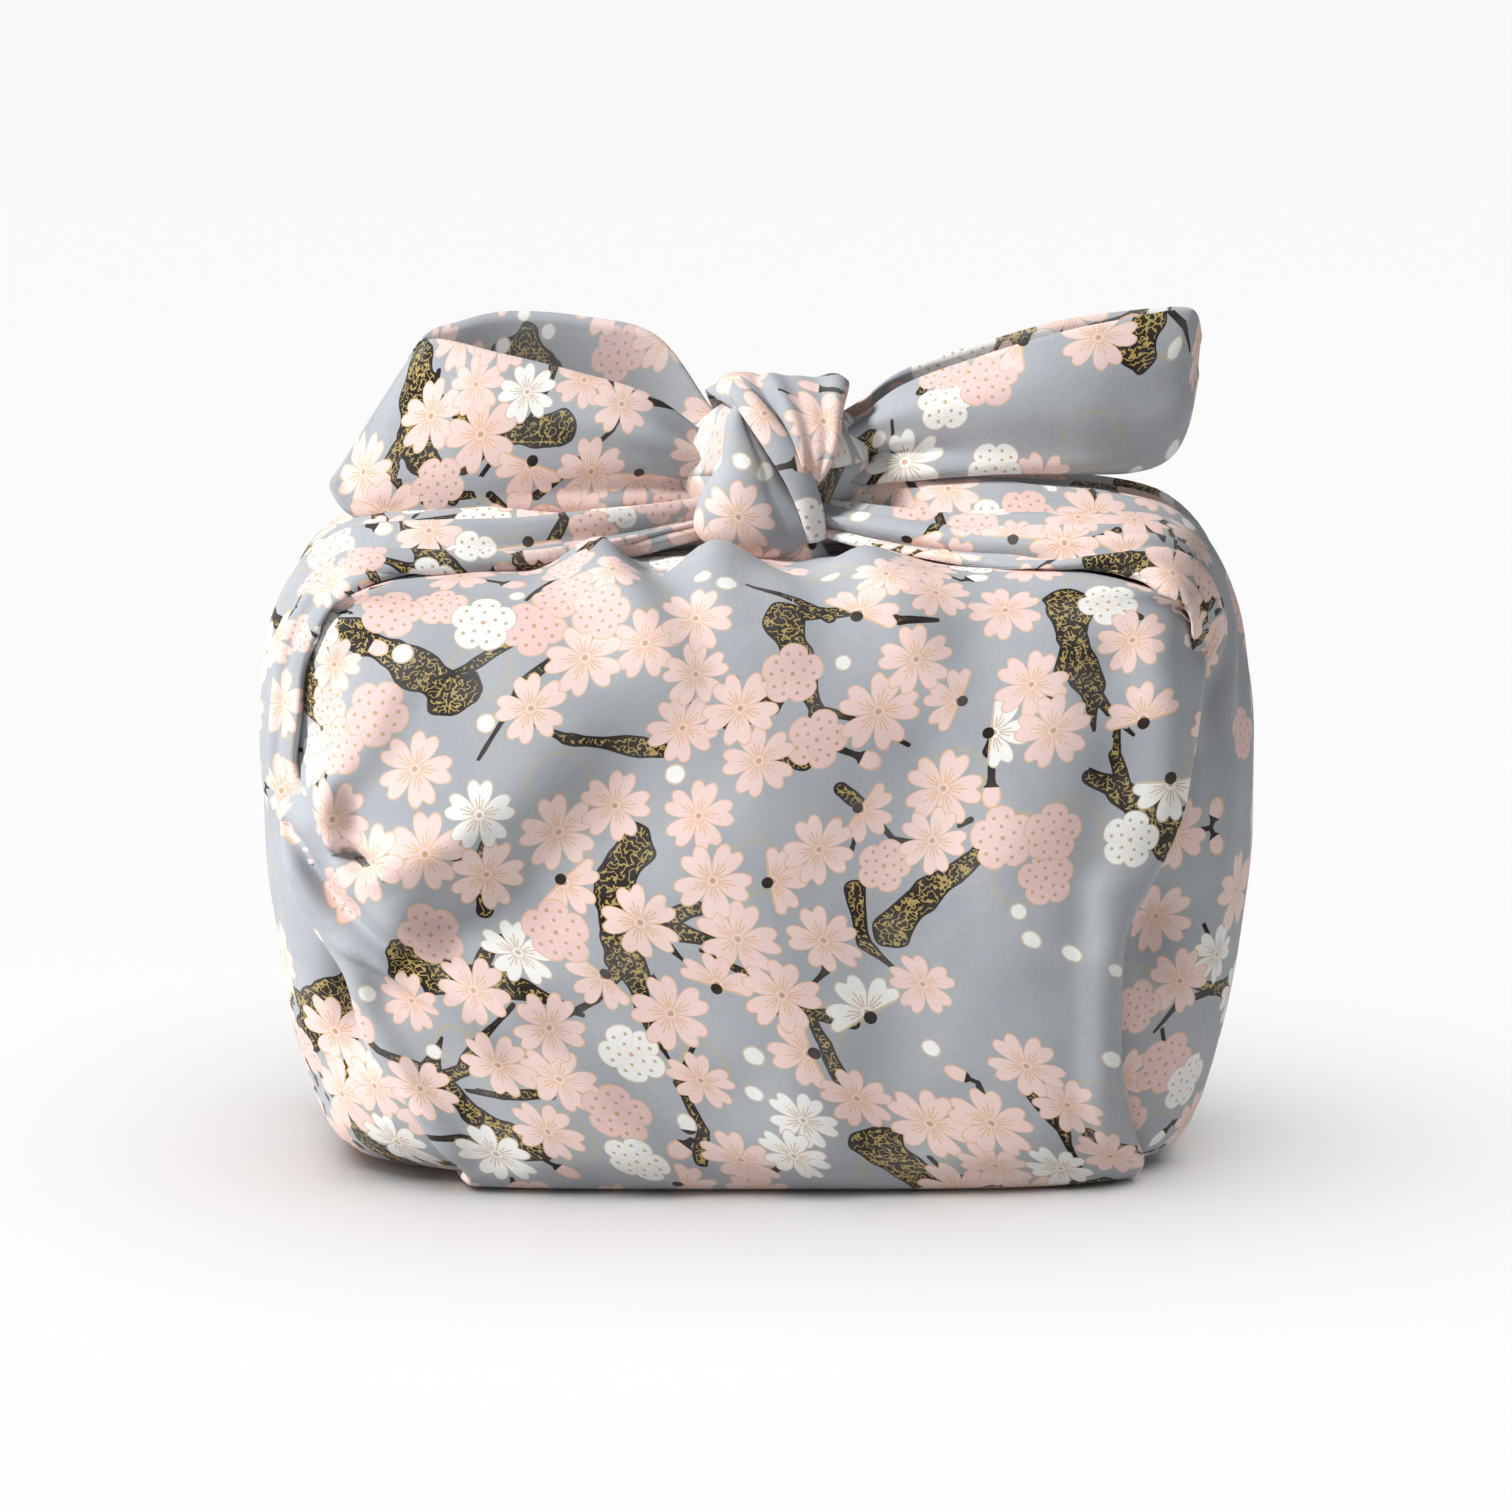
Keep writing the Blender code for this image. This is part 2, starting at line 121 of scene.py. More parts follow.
def softWaves(across, along, seed, size, count=14):
    # Slack in the cloth: a sum of long, low waves that run every way
    draw = np.random.default_rng(seed)
    total = np.zeros(np.broadcast(across, along).shape)
    for _ in range(count):
        turn = draw.uniform(0.0, math.pi)
        length = draw.uniform(16.0, 60.0)
        phase = draw.uniform(0.0, 2 * math.pi)
        place = across * math.cos(turn) + along * math.sin(turn)
        total += np.sin(place * 2 * math.pi / length + phase) * length / 60.0
    return total * size / math.sqrt(count)


def gridNormals(grid):
    facing = np.cross(np.gradient(grid, axis=0), np.gradient(grid, axis=1))
    return facing / np.maximum(np.linalg.norm(facing, axis=2), 1e-9)[:, :, None]


def flatPlaces(grid, centreColumn, centreAt, heading):
    # Where each point of a folded sheet lies on the flat cloth, in metres: lengths along
    # the cloth from its centre column, turned to its heading and set at its place
    across = np.linalg.norm(np.diff(grid, axis=1), axis=2)
    side = np.concatenate([np.zeros((len(grid), 1)), np.cumsum(across, axis=1)], axis=1)
    side -= side[:, centreColumn:centreColumn + 1]
    along = np.linalg.norm(np.diff(grid[:, centreColumn], axis=0), axis=1)
    down = np.repeat(np.concatenate([[0.0], np.cumsum(along)])[:, None], grid.shape[1], axis=1)
    turn = math.radians(heading)
    u = centreAt[0] + side * math.cos(turn) - down * math.sin(turn)
    v = centreAt[1] + side * math.sin(turn) + down * math.cos(turn)
    return np.stack([u, v], axis=2) * mm


# The camera comes first: level with the front, a little above

view = {
    "elevation": 10.0,
    "distance": 1.1,
    "aim": (0.0, 0.0, 0.085),
    "lens": 119.05,
    "sensor": 36.0,
}


def placeCamera():
    data = bpy.data.cameras.new("camera")
    data.lens = view["lens"]
    data.sensor_width = view["sensor"]
    data.clip_end = 100.0
    camera = bpy.data.objects.new("camera", data)
    bpy.context.scene.collection.objects.link(camera)
    lift = math.radians(view["elevation"])
    x, y, z = view["aim"]
    camera.location = (x, y - view["distance"] * math.cos(lift), z + view["distance"] * math.sin(lift))
    camera.rotation_euler = (math.radians(90.0) - lift, 0.0, 0.0)
    bpy.context.scene.camera = camera


placeCamera()


# The front panel: one strip of the cloth from under the bag, up its front, over the
# top and back under the strands. Its rows are placed along the strip.

panel = {
    # s along the cloth, y and z of its middle, left and right edges
    "rows": (
        (-60, 0.0, 0.5, -66, 78),
        (-38, -26.0, 0.5, -66, 78),
        (-16, -46.0, 0.5, -62, 79),
        (-6, -53.5, 1.4, -60, 81),
        (2, -57.0, 5.0, -61, 81.5),
        (11, -59.2, 11.0, -66.7, 79.5),
        (22, -60.4, 22.0, -73.5, 76.5),
        (34, -61.0, 34.0, -81.5, 75.5),
        (48, -61.6, 48.0, -85.5, 75.5),
        (58, -61.9, 58.0, -93.0, 76.5),
        (68, -62.1, 68.0, -98.0, 82.0),
        (80, -62.1, 80.0, -99.6, 87.5),
        (92, -61.8, 92.0, -100.0, 90.0),
        (104, -61.2, 104.0, -99.0, 91.8),
        (114, -59.8, 113.5, -97.0, 93.0),
        (122, -57.4, 121.0, -94.5, 91.5),
        (129, -53.8, 127.0, -94.0, 91.5),
        (136, -48.5, 130.2, -92.0, 90.5),
        (145, -40.5, 131.5, -89.0, 88.0),
        (157, -28.5, 132.0, -84.0, 84.0),
        (174, -11.5, 131.8, -76.0, 76.0),
        (192, 6.5, 131.0, -69.0, 69.0),
        (206, 20.4, 130.5, -68.0, 68.0),
        # the corner turned under itself and hanging inside
        (211, 23.8, 129.2, -67.0, 67.0),
        (215, 22.6, 127.2, -66.0, 66.0),
        (230, 8.0, 126.8, -66.0, 66.0),
        (248, -10.0, 127.0, -66.0, 66.0),
        (268, -30.0, 126.6, -66.0, 66.0),
        (284, -45.0, 122.5, -64.0, 64.0),
        (298, -51.5, 112.0, -61.0, 61.0),
        (318, -54.0, 92.0, -54.0, 54.0),
        (338, -55.0, 72.0, -46.0, 46.0),
        (348, -55.0, 62.0, -42.0, 42.0),
    ),
    # fold lines on the flat cloth: (x, s) path, heights, widths left and right, sharpness
    "folds": (
        (((-33, 152), (-32, 144), (-28, 133), (-20, 120), (-12, 107)), (6.4, 0.1), (9, 16), 0.6),
        (((-21, 154), (-19, 144), (-14, 130), (-9, 114)), (-2.8, -0.2), (9, 8), 0.2),
        (((-8, 152), (-9, 144), (-10, 134), (-8, 118)), (5.4, 0.2), (12, 12), 0.25),
        (((9, 154), (11, 142), (13, 128), (16, 112)), (-2.8, -0.3), (10, 10), 0.2),
        (((23, 152), (25, 144), (29, 132), (36, 116)), (4.2, 0.1), (18, 10), 0.4),
        # a broad upright fold down the middle and the hollow at its right
        (((-3, 116), (1, 90), (1.5, 68), (6, 35), (12, 6)), (2.6, 1.3), (26, 34), 0.3),
        (((46, 118), (35, 89), (29, 71), (26, 47), (29, 18)), (-2.6, -1.3), (26, 23), 0.15),
        (((56, 150), (72, 138), (84, 126)), (1.0, 2.2), (10, 14), 0.3),
        (((-60, 146), (-76, 136), (-88, 124)), (0.6, 1.8), (12, 9), 0.3),
        # the soft slanting folds of the upper left
        (((-22, 118), (-28, 111), (-42, 98), (-58, 83), (-70, 73)), (1.0, 4.2), (15, 27), 0.35),
        (((-8, 106), (-20, 94), (-34, 80), (-50, 66), (-62, 58)), (-0.8, -2.8), (22, 14), 0.1),
        (((-74, 114), (-80, 99), (-86, 92), (-92, 84)), (0.8, 3.6), (8, 10), 0.5),
        (((-86, 118), (-90, 104), (-92, 94)), (-1.0, -3.4), (6, 6), 0.3),
        # the pinch at the left edge: an upper layer's edge, the shaded fold under it, the
        # lower layer's edge, and the long creases that run from them
        (((-93, 86), (-91, 82), (-89.5, 77), (-86, 68), (-78, 61.5), (-70, 55.5)), (5.2, 1.2), (9, 1.6), 0.2),
        (((-99, 77), (-94, 71), (-88.5, 63.5), (-80, 56.5), (-72, 50.5)), (-5.6, -1.4), (3.6, 3.2), 0.2),
        (((-99, 70), (-95, 63), (-88, 55), (-78, 50.5), (-66, 42), (-56, 33)), (4.4, 1.0), (7, 1.8), 0.25),
        (((-76, 60), (-62, 49), (-48, 38), (-32, 22), (-16, 2)), (3.4, 2.0), (10, 18), 0.5),
        (((-72, 53), (-58, 41), (-44, 29)), (-1.6, -0.5), (6, 7), 0.3),
        (((-86, 52), (-81, 38), (-73, 24), (-64, 10)), (2.0, 1.0), (5, 8), 0.4),
        (((-76, 44), (-62, 26), (-54, 8)), (-1.5, -1.0), (9, 9), 0.2),
        (((-62, 78), (-74, 74), (-80, 72)), (1.0, 2.6), (8, 8), 0.3),
        # the right side: a turned edge and long upright slack
        (((84, 116), (87, 100), (86, 84)), (2.0, 0.8), (8, 8), 0.3),
        (((72, 112), (76, 96), (72, 80), (70, 60)), (-1.2, -0.8), (10, 9), 0.1),
        (((73, 66), (72.5, 44), (73, 22), (77, 6)), (1.6, 1.8), (10, 6), 0.4),
        (((58, 96), (56, 70), (58, 40)), (0.9, 0.6), (14, 14), 0.1),
        (((20, 100), (24, 70), (20, 40)), (0.7, 0.5), (18, 18), 0.0),
        (((34, 118), (46, 96), (52, 76)), (1.2, 0.3), (12, 12), 0.2),
        (((0, 30), (14, 14), (20, 2)), (0.4, 0.9), (14, 14), 0.1),
    ),
    "dents": (
        (-85.5, 74.5, 6.0, 3.6, 2.2),
        (-82.0, 72.6, 6.0, 3.6, 2.2),
        (-95, 75.0, 1.2, 3.4, 4.0),
    ),
    "squareness": 4.2,
    "turnRadius": 1.3,
    "tuck": 102.0,
    "tuckGap": 1.2,
    "shoulderDrop": 6.5,
    "outward": 1.0,
    "rest": 0.4,
    "slack": 0.5,
    "seed": 3,
    # the corners under the gathered sides: x, reach, from s to s, and how deep
    "dives": ((-88.5, 9.0, 76, 86, 8.5), (88.0, 7.0, 112, 121, 5.0)),
    # rows up to each s at this spacing; columns in the close left part and in the rest
    "spacing": ((-8, 4.2), (38, 2.4), (92, 1.35), (162, 1.9), (212, 3.4), (400, 7.5)),
    "closeTo": 0.24,
    "columns": (35, 53),
    "tuckSteps": 10,
}


def bagHalfWidth(z):
    # Half the bag's width at a height, where its silhouette runs
    heights = (0, 5, 12, 22, 35, 50, 68, 85, 100, 110, 118, 124, 128, 131)
    halves = (91, 93.5, 96.3, 99.6, 102.6, 105.0, 106.8, 107.3, 107.2, 106.3, 104.2, 101.5, 99, 97)
    return np.interp(z, heights, halves)


def panelSheet(plan):
    rows = throughRows(plan["rows"], 400)
    # the same run of rows, taken as closely as each stretch of the cloth needs
    even = [rows[:1, 0]]
    for upTo, spacing in plan["spacing"]:
        upTo = min(upTo, rows[-1, 0])
        even.append(np.arange(even[-1][-1] + spacing, upTo, spacing))
    even = np.concatenate(even)
    rows = np.stack([np.interp(even, rows[:, 0], rows[:, k]) for k in range(5)], axis=1)
    s, middleY, middleZ, left, right = [rows[:, k][:, None] for k in range(5)]
    flat = np.concatenate([
        np.linspace(0.0, plan["closeTo"], plan["columns"][0])[:-1],
        np.linspace(plan["closeTo"], 1.0, plan["columns"][1]),
    ])[None, :]
    radius = plan["turnRadius"]
    turn = np.linspace(0.0, math.pi, 7)[1:]
    tuck = np.linspace(0.0, 1.0, plan["tuckSteps"])[1:] ** 1.7
    reach = np.minimum(4.0 + plan["tuck"] * smoothStep(-40, 60, s), 0.47 * (right - left))
    x = np.concatenate([
        left + reach * tuck[::-1],
        left - radius * np.sin(turn)[::-1],
        left + (right - left) * flat,
        right + radius * np.sin(turn),
        right - reach * tuck,
    ], axis=1)
    half = radius * (1 - np.cos(turn))
    deep = 2 * radius + plan["tuckGap"] * tuck
    inset = np.concatenate([deep[::-1], half[::-1], np.zeros(flat.shape[1]), half, deep])[None, :]
    run = np.gradient(rows[:, 1:3], axis=0)
    run /= np.linalg.norm(run, axis=1)[:, None]
    outY = -run[:, 1][:, None]
    outZ = run[:, 0][:, None]
    outward = plan["outward"]
    power = plan["squareness"]
    rounding = np.clip(1 - np.abs(x / (bagHalfWidth(middleZ) + 0.6)) ** power, 0.02, 1.0) ** (1 / power)
    wall = np.maximum(1 - smoothStep(126, 136, s), 0.12)
    y = middleY * (1 + (rounding - 1) * wall)
    z = middleZ - plan["shoulderDrop"] * np.abs(x / 100.0) ** 5 * smoothStep(112, 140, s)
    lift = foldHeight(x, s + 0 * x, plan["folds"]) + dentDepth(x, s, plan["dents"])
    lift += softWaves(x, s, plan["seed"], plan["slack"])
    # the corners dive under the gathered sides
    for edge, reach, low, high, deepest in plan["dives"]:
        lift -= deepest * smoothStep(0, reach, np.sign(edge) * (x - edge)) * smoothStep(low, high, s)
    # the foot stays flat
    push = lift * smoothStep(-8, 8, s) - inset
    y = y + outward * outY * push
    z = np.maximum(z + outward * outZ * push, plan["rest"])
    return np.stack([x, y, z], axis=2)


# The side gores: each is the cloth from behind the front panel, round the bag's side
# to behind the back panel, gathered over the shoulder into a strand to the knot.
# Columns: crest x and z, tilt of the section from level, y reach ahead and behind,
# depth of the section, its squareness, how far round it runs ahead and behind, how much
# its edges are turned under over the panels, and the pleats' height.

gores = {
    "left": (
        (30.0, 2.3, 0, 22, 22, 30, 3.0, 74, 74, 0, 0.0),
        (66.0, 2.3, 0, 38, 38, 66, 3.2, 76, 76, 0, 0.0),
        (84.0, 2.4, 0, 46, 46, 84, 3.3, 78, 78, 0, 0.0),
        (89.5, 3.2, 0, 49.5, 49.5, 89, 3.5, 80, 80, 0, 0.0),
        (93.0, 6.5, 0, 52.5, 53, 93, 3.7, 83, 83, 0, 0.0),
        (96.0, 13, 0, 54.5, 55.5, 96, 3.9, 83, 83, 0, 0.1),
        (99.3, 24, 0, 56, 57, 99, 4.0, 83, 83, 0, 0.2),
        (102.0, 38, 0, 57, 58, 102, 4.1, 83, 83, 0, 0.3),
        (104.3, 54, 0, 57.6, 59, 104, 4.2, 83, 83, 0, 0.4),
        (105.6, 66, 0, 57.8, 59, 106, 4.2, 80, 80, 0, 0.5),
        (106.5, 78, 0, 57.6, 59, 106.5, 4.2, 46, 46, 0.15, 0.6),
        (106.7, 89, 0, 57.4, 58.6, 106, 4.2, 34, 34, 1, 0.8),
        (106.3, 101, 0, 57.4, 57.4, 106, 4.2, 35, 35, 1, 0.9),
        (105.2, 112, 6, 57, 56, 92, 4.0, 37, 37, 1, 1.1),
        (103.2, 120, 20, 57, 54, 60, 3.6, 45, 44, 1, 1.2),
        (99.5, 127.5, 38, 55, 51, 30, 3.0, 58, 56, 1, 1.4),
        (94.0, 134, 52, 51, 46, 16, 2.6, 74, 72, 1, 1.7),
        (86.5, 138.8, 66, 48.5, 41, 9.8, 2.2, 98, 96, 1, 1.9),
        (76.0, 141.5, 80, 46.5, 35, 9.6, 2.0, 122, 122, 1, 2.1),
        (62.0, 142.8, 86, 43, 27, 10.2, 2.0, 140, 140, 0, 2.4),
        (47.0, 143.5, 88, 38, 19, 10.2, 2.0, 150, 150, 0, 2.8),
        (32.0, 144.5, 88, 31, 12, 9.8, 2.0, 150, 150, 0, 2.8),
        (18.0, 145.5, 88, 23.5, 7, 8.5, 2.0, 150, 150, 0, 2.4),
        (6.0, 146.5, 88, 17, 2, 7, 2.0, 150, 150, 0, 1.8),
    ),
    "right": (
        (30.0, 2.3, 0, 22, 22, 30, 3.0, 74, 74, 0, 0.0),
        (66.0, 2.3, 0, 38, 38, 66, 3.2, 76, 76, 0, 0.0),
        (86.0, 2.4, 0, 46, 46, 86, 3.3, 78, 78, 0, 0.0),
        (91.5, 3.2, 0, 49.5, 49.5, 91, 3.5, 80, 80, 0, 0.0),
        (94.5, 6.5, 0, 52.5, 53, 94, 3.7, 83, 83, 0, 0.0),
        (97.2, 13, 0, 54.5, 55.5, 97, 3.9, 83, 83, 0, 0.1),
        (100.2, 24, 0, 56, 57, 100, 4.0, 83, 83, 0, 0.2),
        (103.2, 38, 0, 57, 58, 103, 4.1, 83, 83, 0, 0.3),
        (105.8, 54, 0, 57.6, 59, 105.5, 4.2, 83, 83, 0, 0.4),
        (107.2, 70, 0, 57.8, 59, 107, 4.2, 83, 80, 0, 0.5),
        (107.3, 86, 0, 57.6, 58.6, 107, 4.2, 83, 46, 0, 0.7),
        (106.6, 100, 0, 56.6, 57.4, 106, 4.2, 82, 36, 0, 0.9),
        (105.2, 110, 4, 56, 56, 100, 4.0, 60, 38, 0.3, 1.1),
        (103.6, 120, 20, 56, 54, 62, 3.6, 49, 44, 1, 1.2),
        (100.5, 128.5, 38, 54, 51, 31, 3.0, 60, 56, 1, 1.4),
        (95.5, 136, 52, 51, 46, 18, 2.6, 76, 72, 1, 1.7),
        (88.0, 141.6, 66, 48.5, 41, 12.5, 2.2, 99, 96, 1, 1.9),
        (77.0, 144.4, 80, 46.5, 35, 12.0, 2.0, 122, 122, 1, 2.1),
        (62.0, 145.6, 86, 43, 27, 12.4, 2.0, 140, 140, 0, 2.5),
        (47.0, 146.2, 88, 38, 19, 12.2, 2.0, 150, 150, 0, 3.0),
        (32.0, 146.6, 88, 31, 12, 11.6, 2.0, 150, 150, 0, 3.0),
        (18.0, 147.0, 88, 23.5, 7, 9.6, 2.0, 150, 150, 0, 2.6),
        (6.0, 147.5, 88, 17, 2, 7, 2.0, 150, 150, 0, 1.8),
    ),
    "steps": (100, 58),
    # the cloth that runs on inside: steps, reach behind the panels, share of the strand
    "inner": (7, 46.0, 1.2),
    "turnUnder": 2.6,
    # tilts between which the side bends into the strand, and the least height of the foot
    "bend": ((24, 44), (81, 87)),
    "rest": 2.2,
    # gathers of each strand: how many over the section, their share, their place
    "gathers": {
        "left": ((3.1, 0.55, 0.4), (5.3, 0.5, 2.1), (8.7, 0.22, 0.9)),
        "right": ((3.6, 0.6, 1.4), (6.1, 0.55, 0.3), (9.4, 0.25, 2.2)),
    },
    "slack": 0.45,
    # hollows of the gores' front and back faces: x, z, depth and two radii
    "dents": {
        "left": ((-86, 38, 6.0, 6, 15), (-93, 26, 2.0, 5, 14), (-96, 75, 4.5, 8, 9)),
        "right": ((84, 58, 7.0, 8, 14), (98, 106, 3.0, 5, 16)),
    },
}


def goreSheet(side):
    sign = -1.0 if side == "left" else 1.0
    rows = throughRows(gores[side], gores["steps"][0] * 3)
    travel = np.linalg.norm(np.diff(rows[:, :2], axis=0), axis=1)
    travel = np.concatenate([[0.0], np.cumsum(travel)])
    even = np.linspace(0.0, travel[-1], gores["steps"][0])
    rows = np.stack([np.interp(even, travel, rows[:, k]) for k in range(11)], axis=1)
    columns = [rows[:, k][:, None] for k in range(11)]
    crestX, crestZ, tilt, ahead, behind, depth, power, roundAhead, roundBehind, over, pleat = columns
    q = np.linspace(-1.0, 1.0, gores["steps"][1])[None, :]
    angle = np.radians(np.where(q < 0, roundAhead, roundBehind) * q)
    power = np.maximum(power, 2.0)
    reach = np.sign(np.sin(angle)) * np.abs(np.sin(angle)) ** (2 / power)
    level = np.cos(angle)
    # past its widest the section rounds off below and rises a little
    fall = np.where(level >= 0, 1 - np.abs(level) ** (2 / power), 1.0)
    under = np.where(level < 0, -level, 0.0)
    fall = depth * fall + under * (4.0 - 6.0 * under)
    y = np.where(reach < 0, ahead * reach, behind * reach)
    lean = np.radians(tilt)
    x = crestX - fall * np.cos(lean)
    z = crestZ - fall * np.sin(lean)
    grid = np.stack([sign * x, y + 0 * x, z + 0 * y], axis=2)
    normals = gridNormals(grid)
    if normals[len(grid) // 3, grid.shape[1] // 2, 0] * sign < 0:
        normals = -normals
    wave = np.zeros_like(grid[:, :, 0])
    travelled = even[:, None]
    for count, share, place in gores["gathers"][side]:
        drift = place + 0.6 * np.sin(travelled / 47.0 + place)
        swing = np.sin(q * count * math.pi + drift)
        wave += share * (1 - 2 * np.abs(swing) ** 1.3)
    # the turned edges stay smooth, also where the side bends into the strand
    calm = 1 - np.clip(over, 0, 1) * (1 - smoothStep(0.0, 0.2, 1 - np.abs(q)))
    bending = smoothStep(40, 62, tilt) * (1 - smoothStep(80, 88, tilt))
    calm *= 1 - 0.8 * smoothStep(0.5, 0.9, np.abs(q)) * bending
    lift = pleat * wave * calm + softWaves(q * 60, travelled, 11 if side == "left" else 12, gores["slack"])
    for dentX, dentZ, deep, radiusX, radiusZ in gores["dents"][side]:
        far = np.hypot((grid[:, :, 0] - dentX) / radiusX, (grid[:, :, 2] - dentZ) / radiusZ)
        lift -= deep * np.exp(-far ** 2 * 1.6) * (np.abs(grid[:, :, 1]) > 25)
    lift *= smoothStep(0, 20, grid[:, :, 2])
    grid = grid + normals * lift[:, :, None]
    grid[:, :, 2] = np.maximum(grid[:, :, 2], gores["rest"])
    # the cloth runs on: inside the strand, turned under on the panels, or behind them
    steps, behindPanels, withinStrand = gores["inner"]
    share = np.linspace(0.0, 1.0, steps + 1)[None, 1:]
    strand = smoothStep(35, 80, np.abs(tilt)) * (tilt > 0)
    over = np.clip(over, 0.0, 1.0)[:, :, None]
    overBack = (smoothStep(79, 84, crestZ) * (1 - smoothStep(80, 86, tilt)))[:, :, None]
    fold = (gores["turnUnder"] * (1 - 0.6 * strand))[:, :, None]
    # next to nothing runs on where the side bends into the strand
    enter, leave = gores["bend"]
    spread = (1 - 0.96 * smoothStep(*enter, tilt) * (1 - smoothStep(*leave, tilt)))[:, :, None]
    ends = []
    for step, width, rise, onTop in ((1, -ahead, 0.45, over), (-1, behind, 0.5, overBack)):
        edge = grid[:, :1] if step > 0 else grid[:, -1:]
        inX = -sign * behindPanels * (1 - strand) * share
        inY = -width * withinStrand * strand * share
        inZ = depth * rise * strand * smoothStep(0, 0.3, share)
        within = edge + np.stack([inX, inY, inZ], axis=2)
        back = grid[:, :steps] if step > 0 else grid[:, ::-1][:, :steps]
        inward = grid.mean(axis=1)[:, None] - back
        inward /= np.linalg.norm(inward, axis=2)[:, :, None]
        turned = back + inward * fold * np.minimum(1.0, 0.5 + share[:, :, None] * 4)
        outward = back[:, :1] - back[:, 1:2]
        outward /= np.maximum(np.linalg.norm(outward, axis=2), 1e-9)[:, :, None]
        turned[:, :1] += outward * fold * 0.5
        laid = within * (1 - onTop) + turned * onTop
        ends.append(edge + (laid - edge) * spread)
    return np.concatenate([ends[0][:, ::-1], grid, ends[1]], axis=1)


# The ears: each is a corner of the cloth folded in two along its foot. Columns: the
# front layer's top, the foot, the rear layer's top, and how far the layers belly out.

ears = {
    "left": (
        ((-2, -11, 152), (-2, -9, 146.5), (-2, -3, 153), 1.5),
        ((-10.5, -13, 157.5), (-11.5, -10, 142.8), (-10, -2, 162.5), 3.5),
        ((-23, -14.5, 166.3), (-24, -10, 141.6), (-21.8, 0.5, 177.6), 6.5),
        ((-39, -14, 171.2), (-42.5, -10, 140.0), (-38, 2, 181.6), 7.5),
        ((-55.5, -12.5, 175.0), (-62, -9.5, 139.0), (-54.5, 2.5, 182.6), 6.5),
        ((-65.5, -10.5, 177.4), (-77, -8.5, 139.0), (-65.5, 1.5, 180.2), 4.6),
        ((-71.0, -8.5, 177.2), (-87, -7.5, 140.4), (-71.0, 0.5, 178.2), 3.0),
        ((-75.0, -6.5, 172.5), (-92.2, -5.5, 146.5), (-75.0, -1.5, 172.9), 1.2),
    ),
    "right": (
        ((8, -10, 154), (8, -8, 148), (8, -3, 155.5), 1.5),
        ((22, -9.5, 161.0), (21, -8, 147.0), (22, -2, 163.0), 4.5),
        ((32, -9.5, 168.0), (33.5, -9, 147.8), (32, 1, 169.8), 7.0),
        ((49, -10, 174.3), (51.5, -10, 148.8), (49, 2, 175.8), 7.0),
        ((67, -9, 179.4), (69, -9.5, 148.6), (67, 2.5, 180.8), 5.5),
        ((82, -6.5, 182.2), (81, -7.0, 148.6), (83, 2, 183.0), 4.4),
        ((91.0, -4.5, 183.6), (89, -5.0, 151.6), (91.8, 1.8, 183.6), 3.2),
        ((95.0, -3.0, 182.8), (93.4, -3.2, 158.5), (95.2, 1.0, 182.6), 1.8),
        ((96.2, -1.8, 177.5), (95.6, -1.8, 168.5), (96.3, -0.4, 177.3), 0.6),
    ),
    "steps": (62, 46),
    # folds drawn on (section, length) in parts of a hundred, from the knot outward
    "folds": {
        "left": (
            (((20, 2), (17, 30), (12, 60)), (2.6, 0.4), (9, 7), 0.4),
            (((33, 2), (34, 26), (38, 52)), (-3.4, -0.3), (6, 8), 0.3),
            (((42, 2), (44, 34), (46, 66)), (3.2, 0.4), (6, 9), 0.3),
            # the foot rolled up toward the front
            (((50, 10), (51, 60), (50, 96)), (1.6, 2.6), (5, 3), 0.2),
            (((8, 2), (8, 34)), (-1.6, -0.2), (5, 7), 0.3),
            (((76, 2), (80, 30), (84, 60)), (2.4, 0.4), (9, 8), 0.3),
            (((66, 2), (68, 36)), (-1.8, -0.2), (6, 6), 0.3),
        ),
        "right": (
            (((12, 2), (13, 20), (16, 44)), (4.0, 0.3), (9, 9), 0.4),
            (((26, 2), (30, 18), (36, 34)), (-6.0, -0.4), (7, 5), 0.5),
            (((38, 2), (42, 24), (45, 60)), (4.4, 0.6), (6, 8), 0.4),
            (((50, 2), (52, 22), (54, 44)), (-2.2, -0.3), (5, 5), 0.3),
            (((20, 30), (30, 60), (34, 84)), (0.9, 0.5), (12, 10), 0.2),
            (((76, 2), (80, 30), (84, 60)), (2.4, 0.4), (9, 8), 0.3),
        ),
    },
    "slack": 0.35,
}


def earSheet(side):
    net = []
    for top, foot, rear, belly in ears[side]:
        top, foot, rear = np.array(top), np.array(foot), np.array(rear)
        out = np.array([0.0, belly, 0.0])
        net.append([
            top,
            top + (foot - top) * 0.3 - out * 0.75,
            top + (foot - top) * 0.62 - out * 1.0,
            top + (foot - top) * 0.9 - out * 0.85,
            foot,
            foot + (rear - foot) * 0.12 + out * 0.6,
            foot + (rear - foot) * 0.45 + out,
            rear,
        ])
    grid = throughNet(net, *ears["steps"])
    normals = gridNormals(grid)
    if normals[len(grid) // 2, 20, 1] > 0:
        normals = -normals
    across = np.linspace(0, 100, grid.shape[1])[None, :] + np.zeros((len(grid), 1))
    along = np.linspace(0, 100, len(grid))[:, None] + np.zeros((1, grid.shape[1]))
    lift = foldHeight(across, along, ears["folds"][side])
    lift += softWaves(across * 0.8, along, 31 if side == "left" else 32, ears["slack"])
    return grid + normals * lift[:, :, None]


# The knot: a filled core, a band that wraps it from below the front to the back, a
# round lobe hanging before it and a narrow twisted strip between the two.

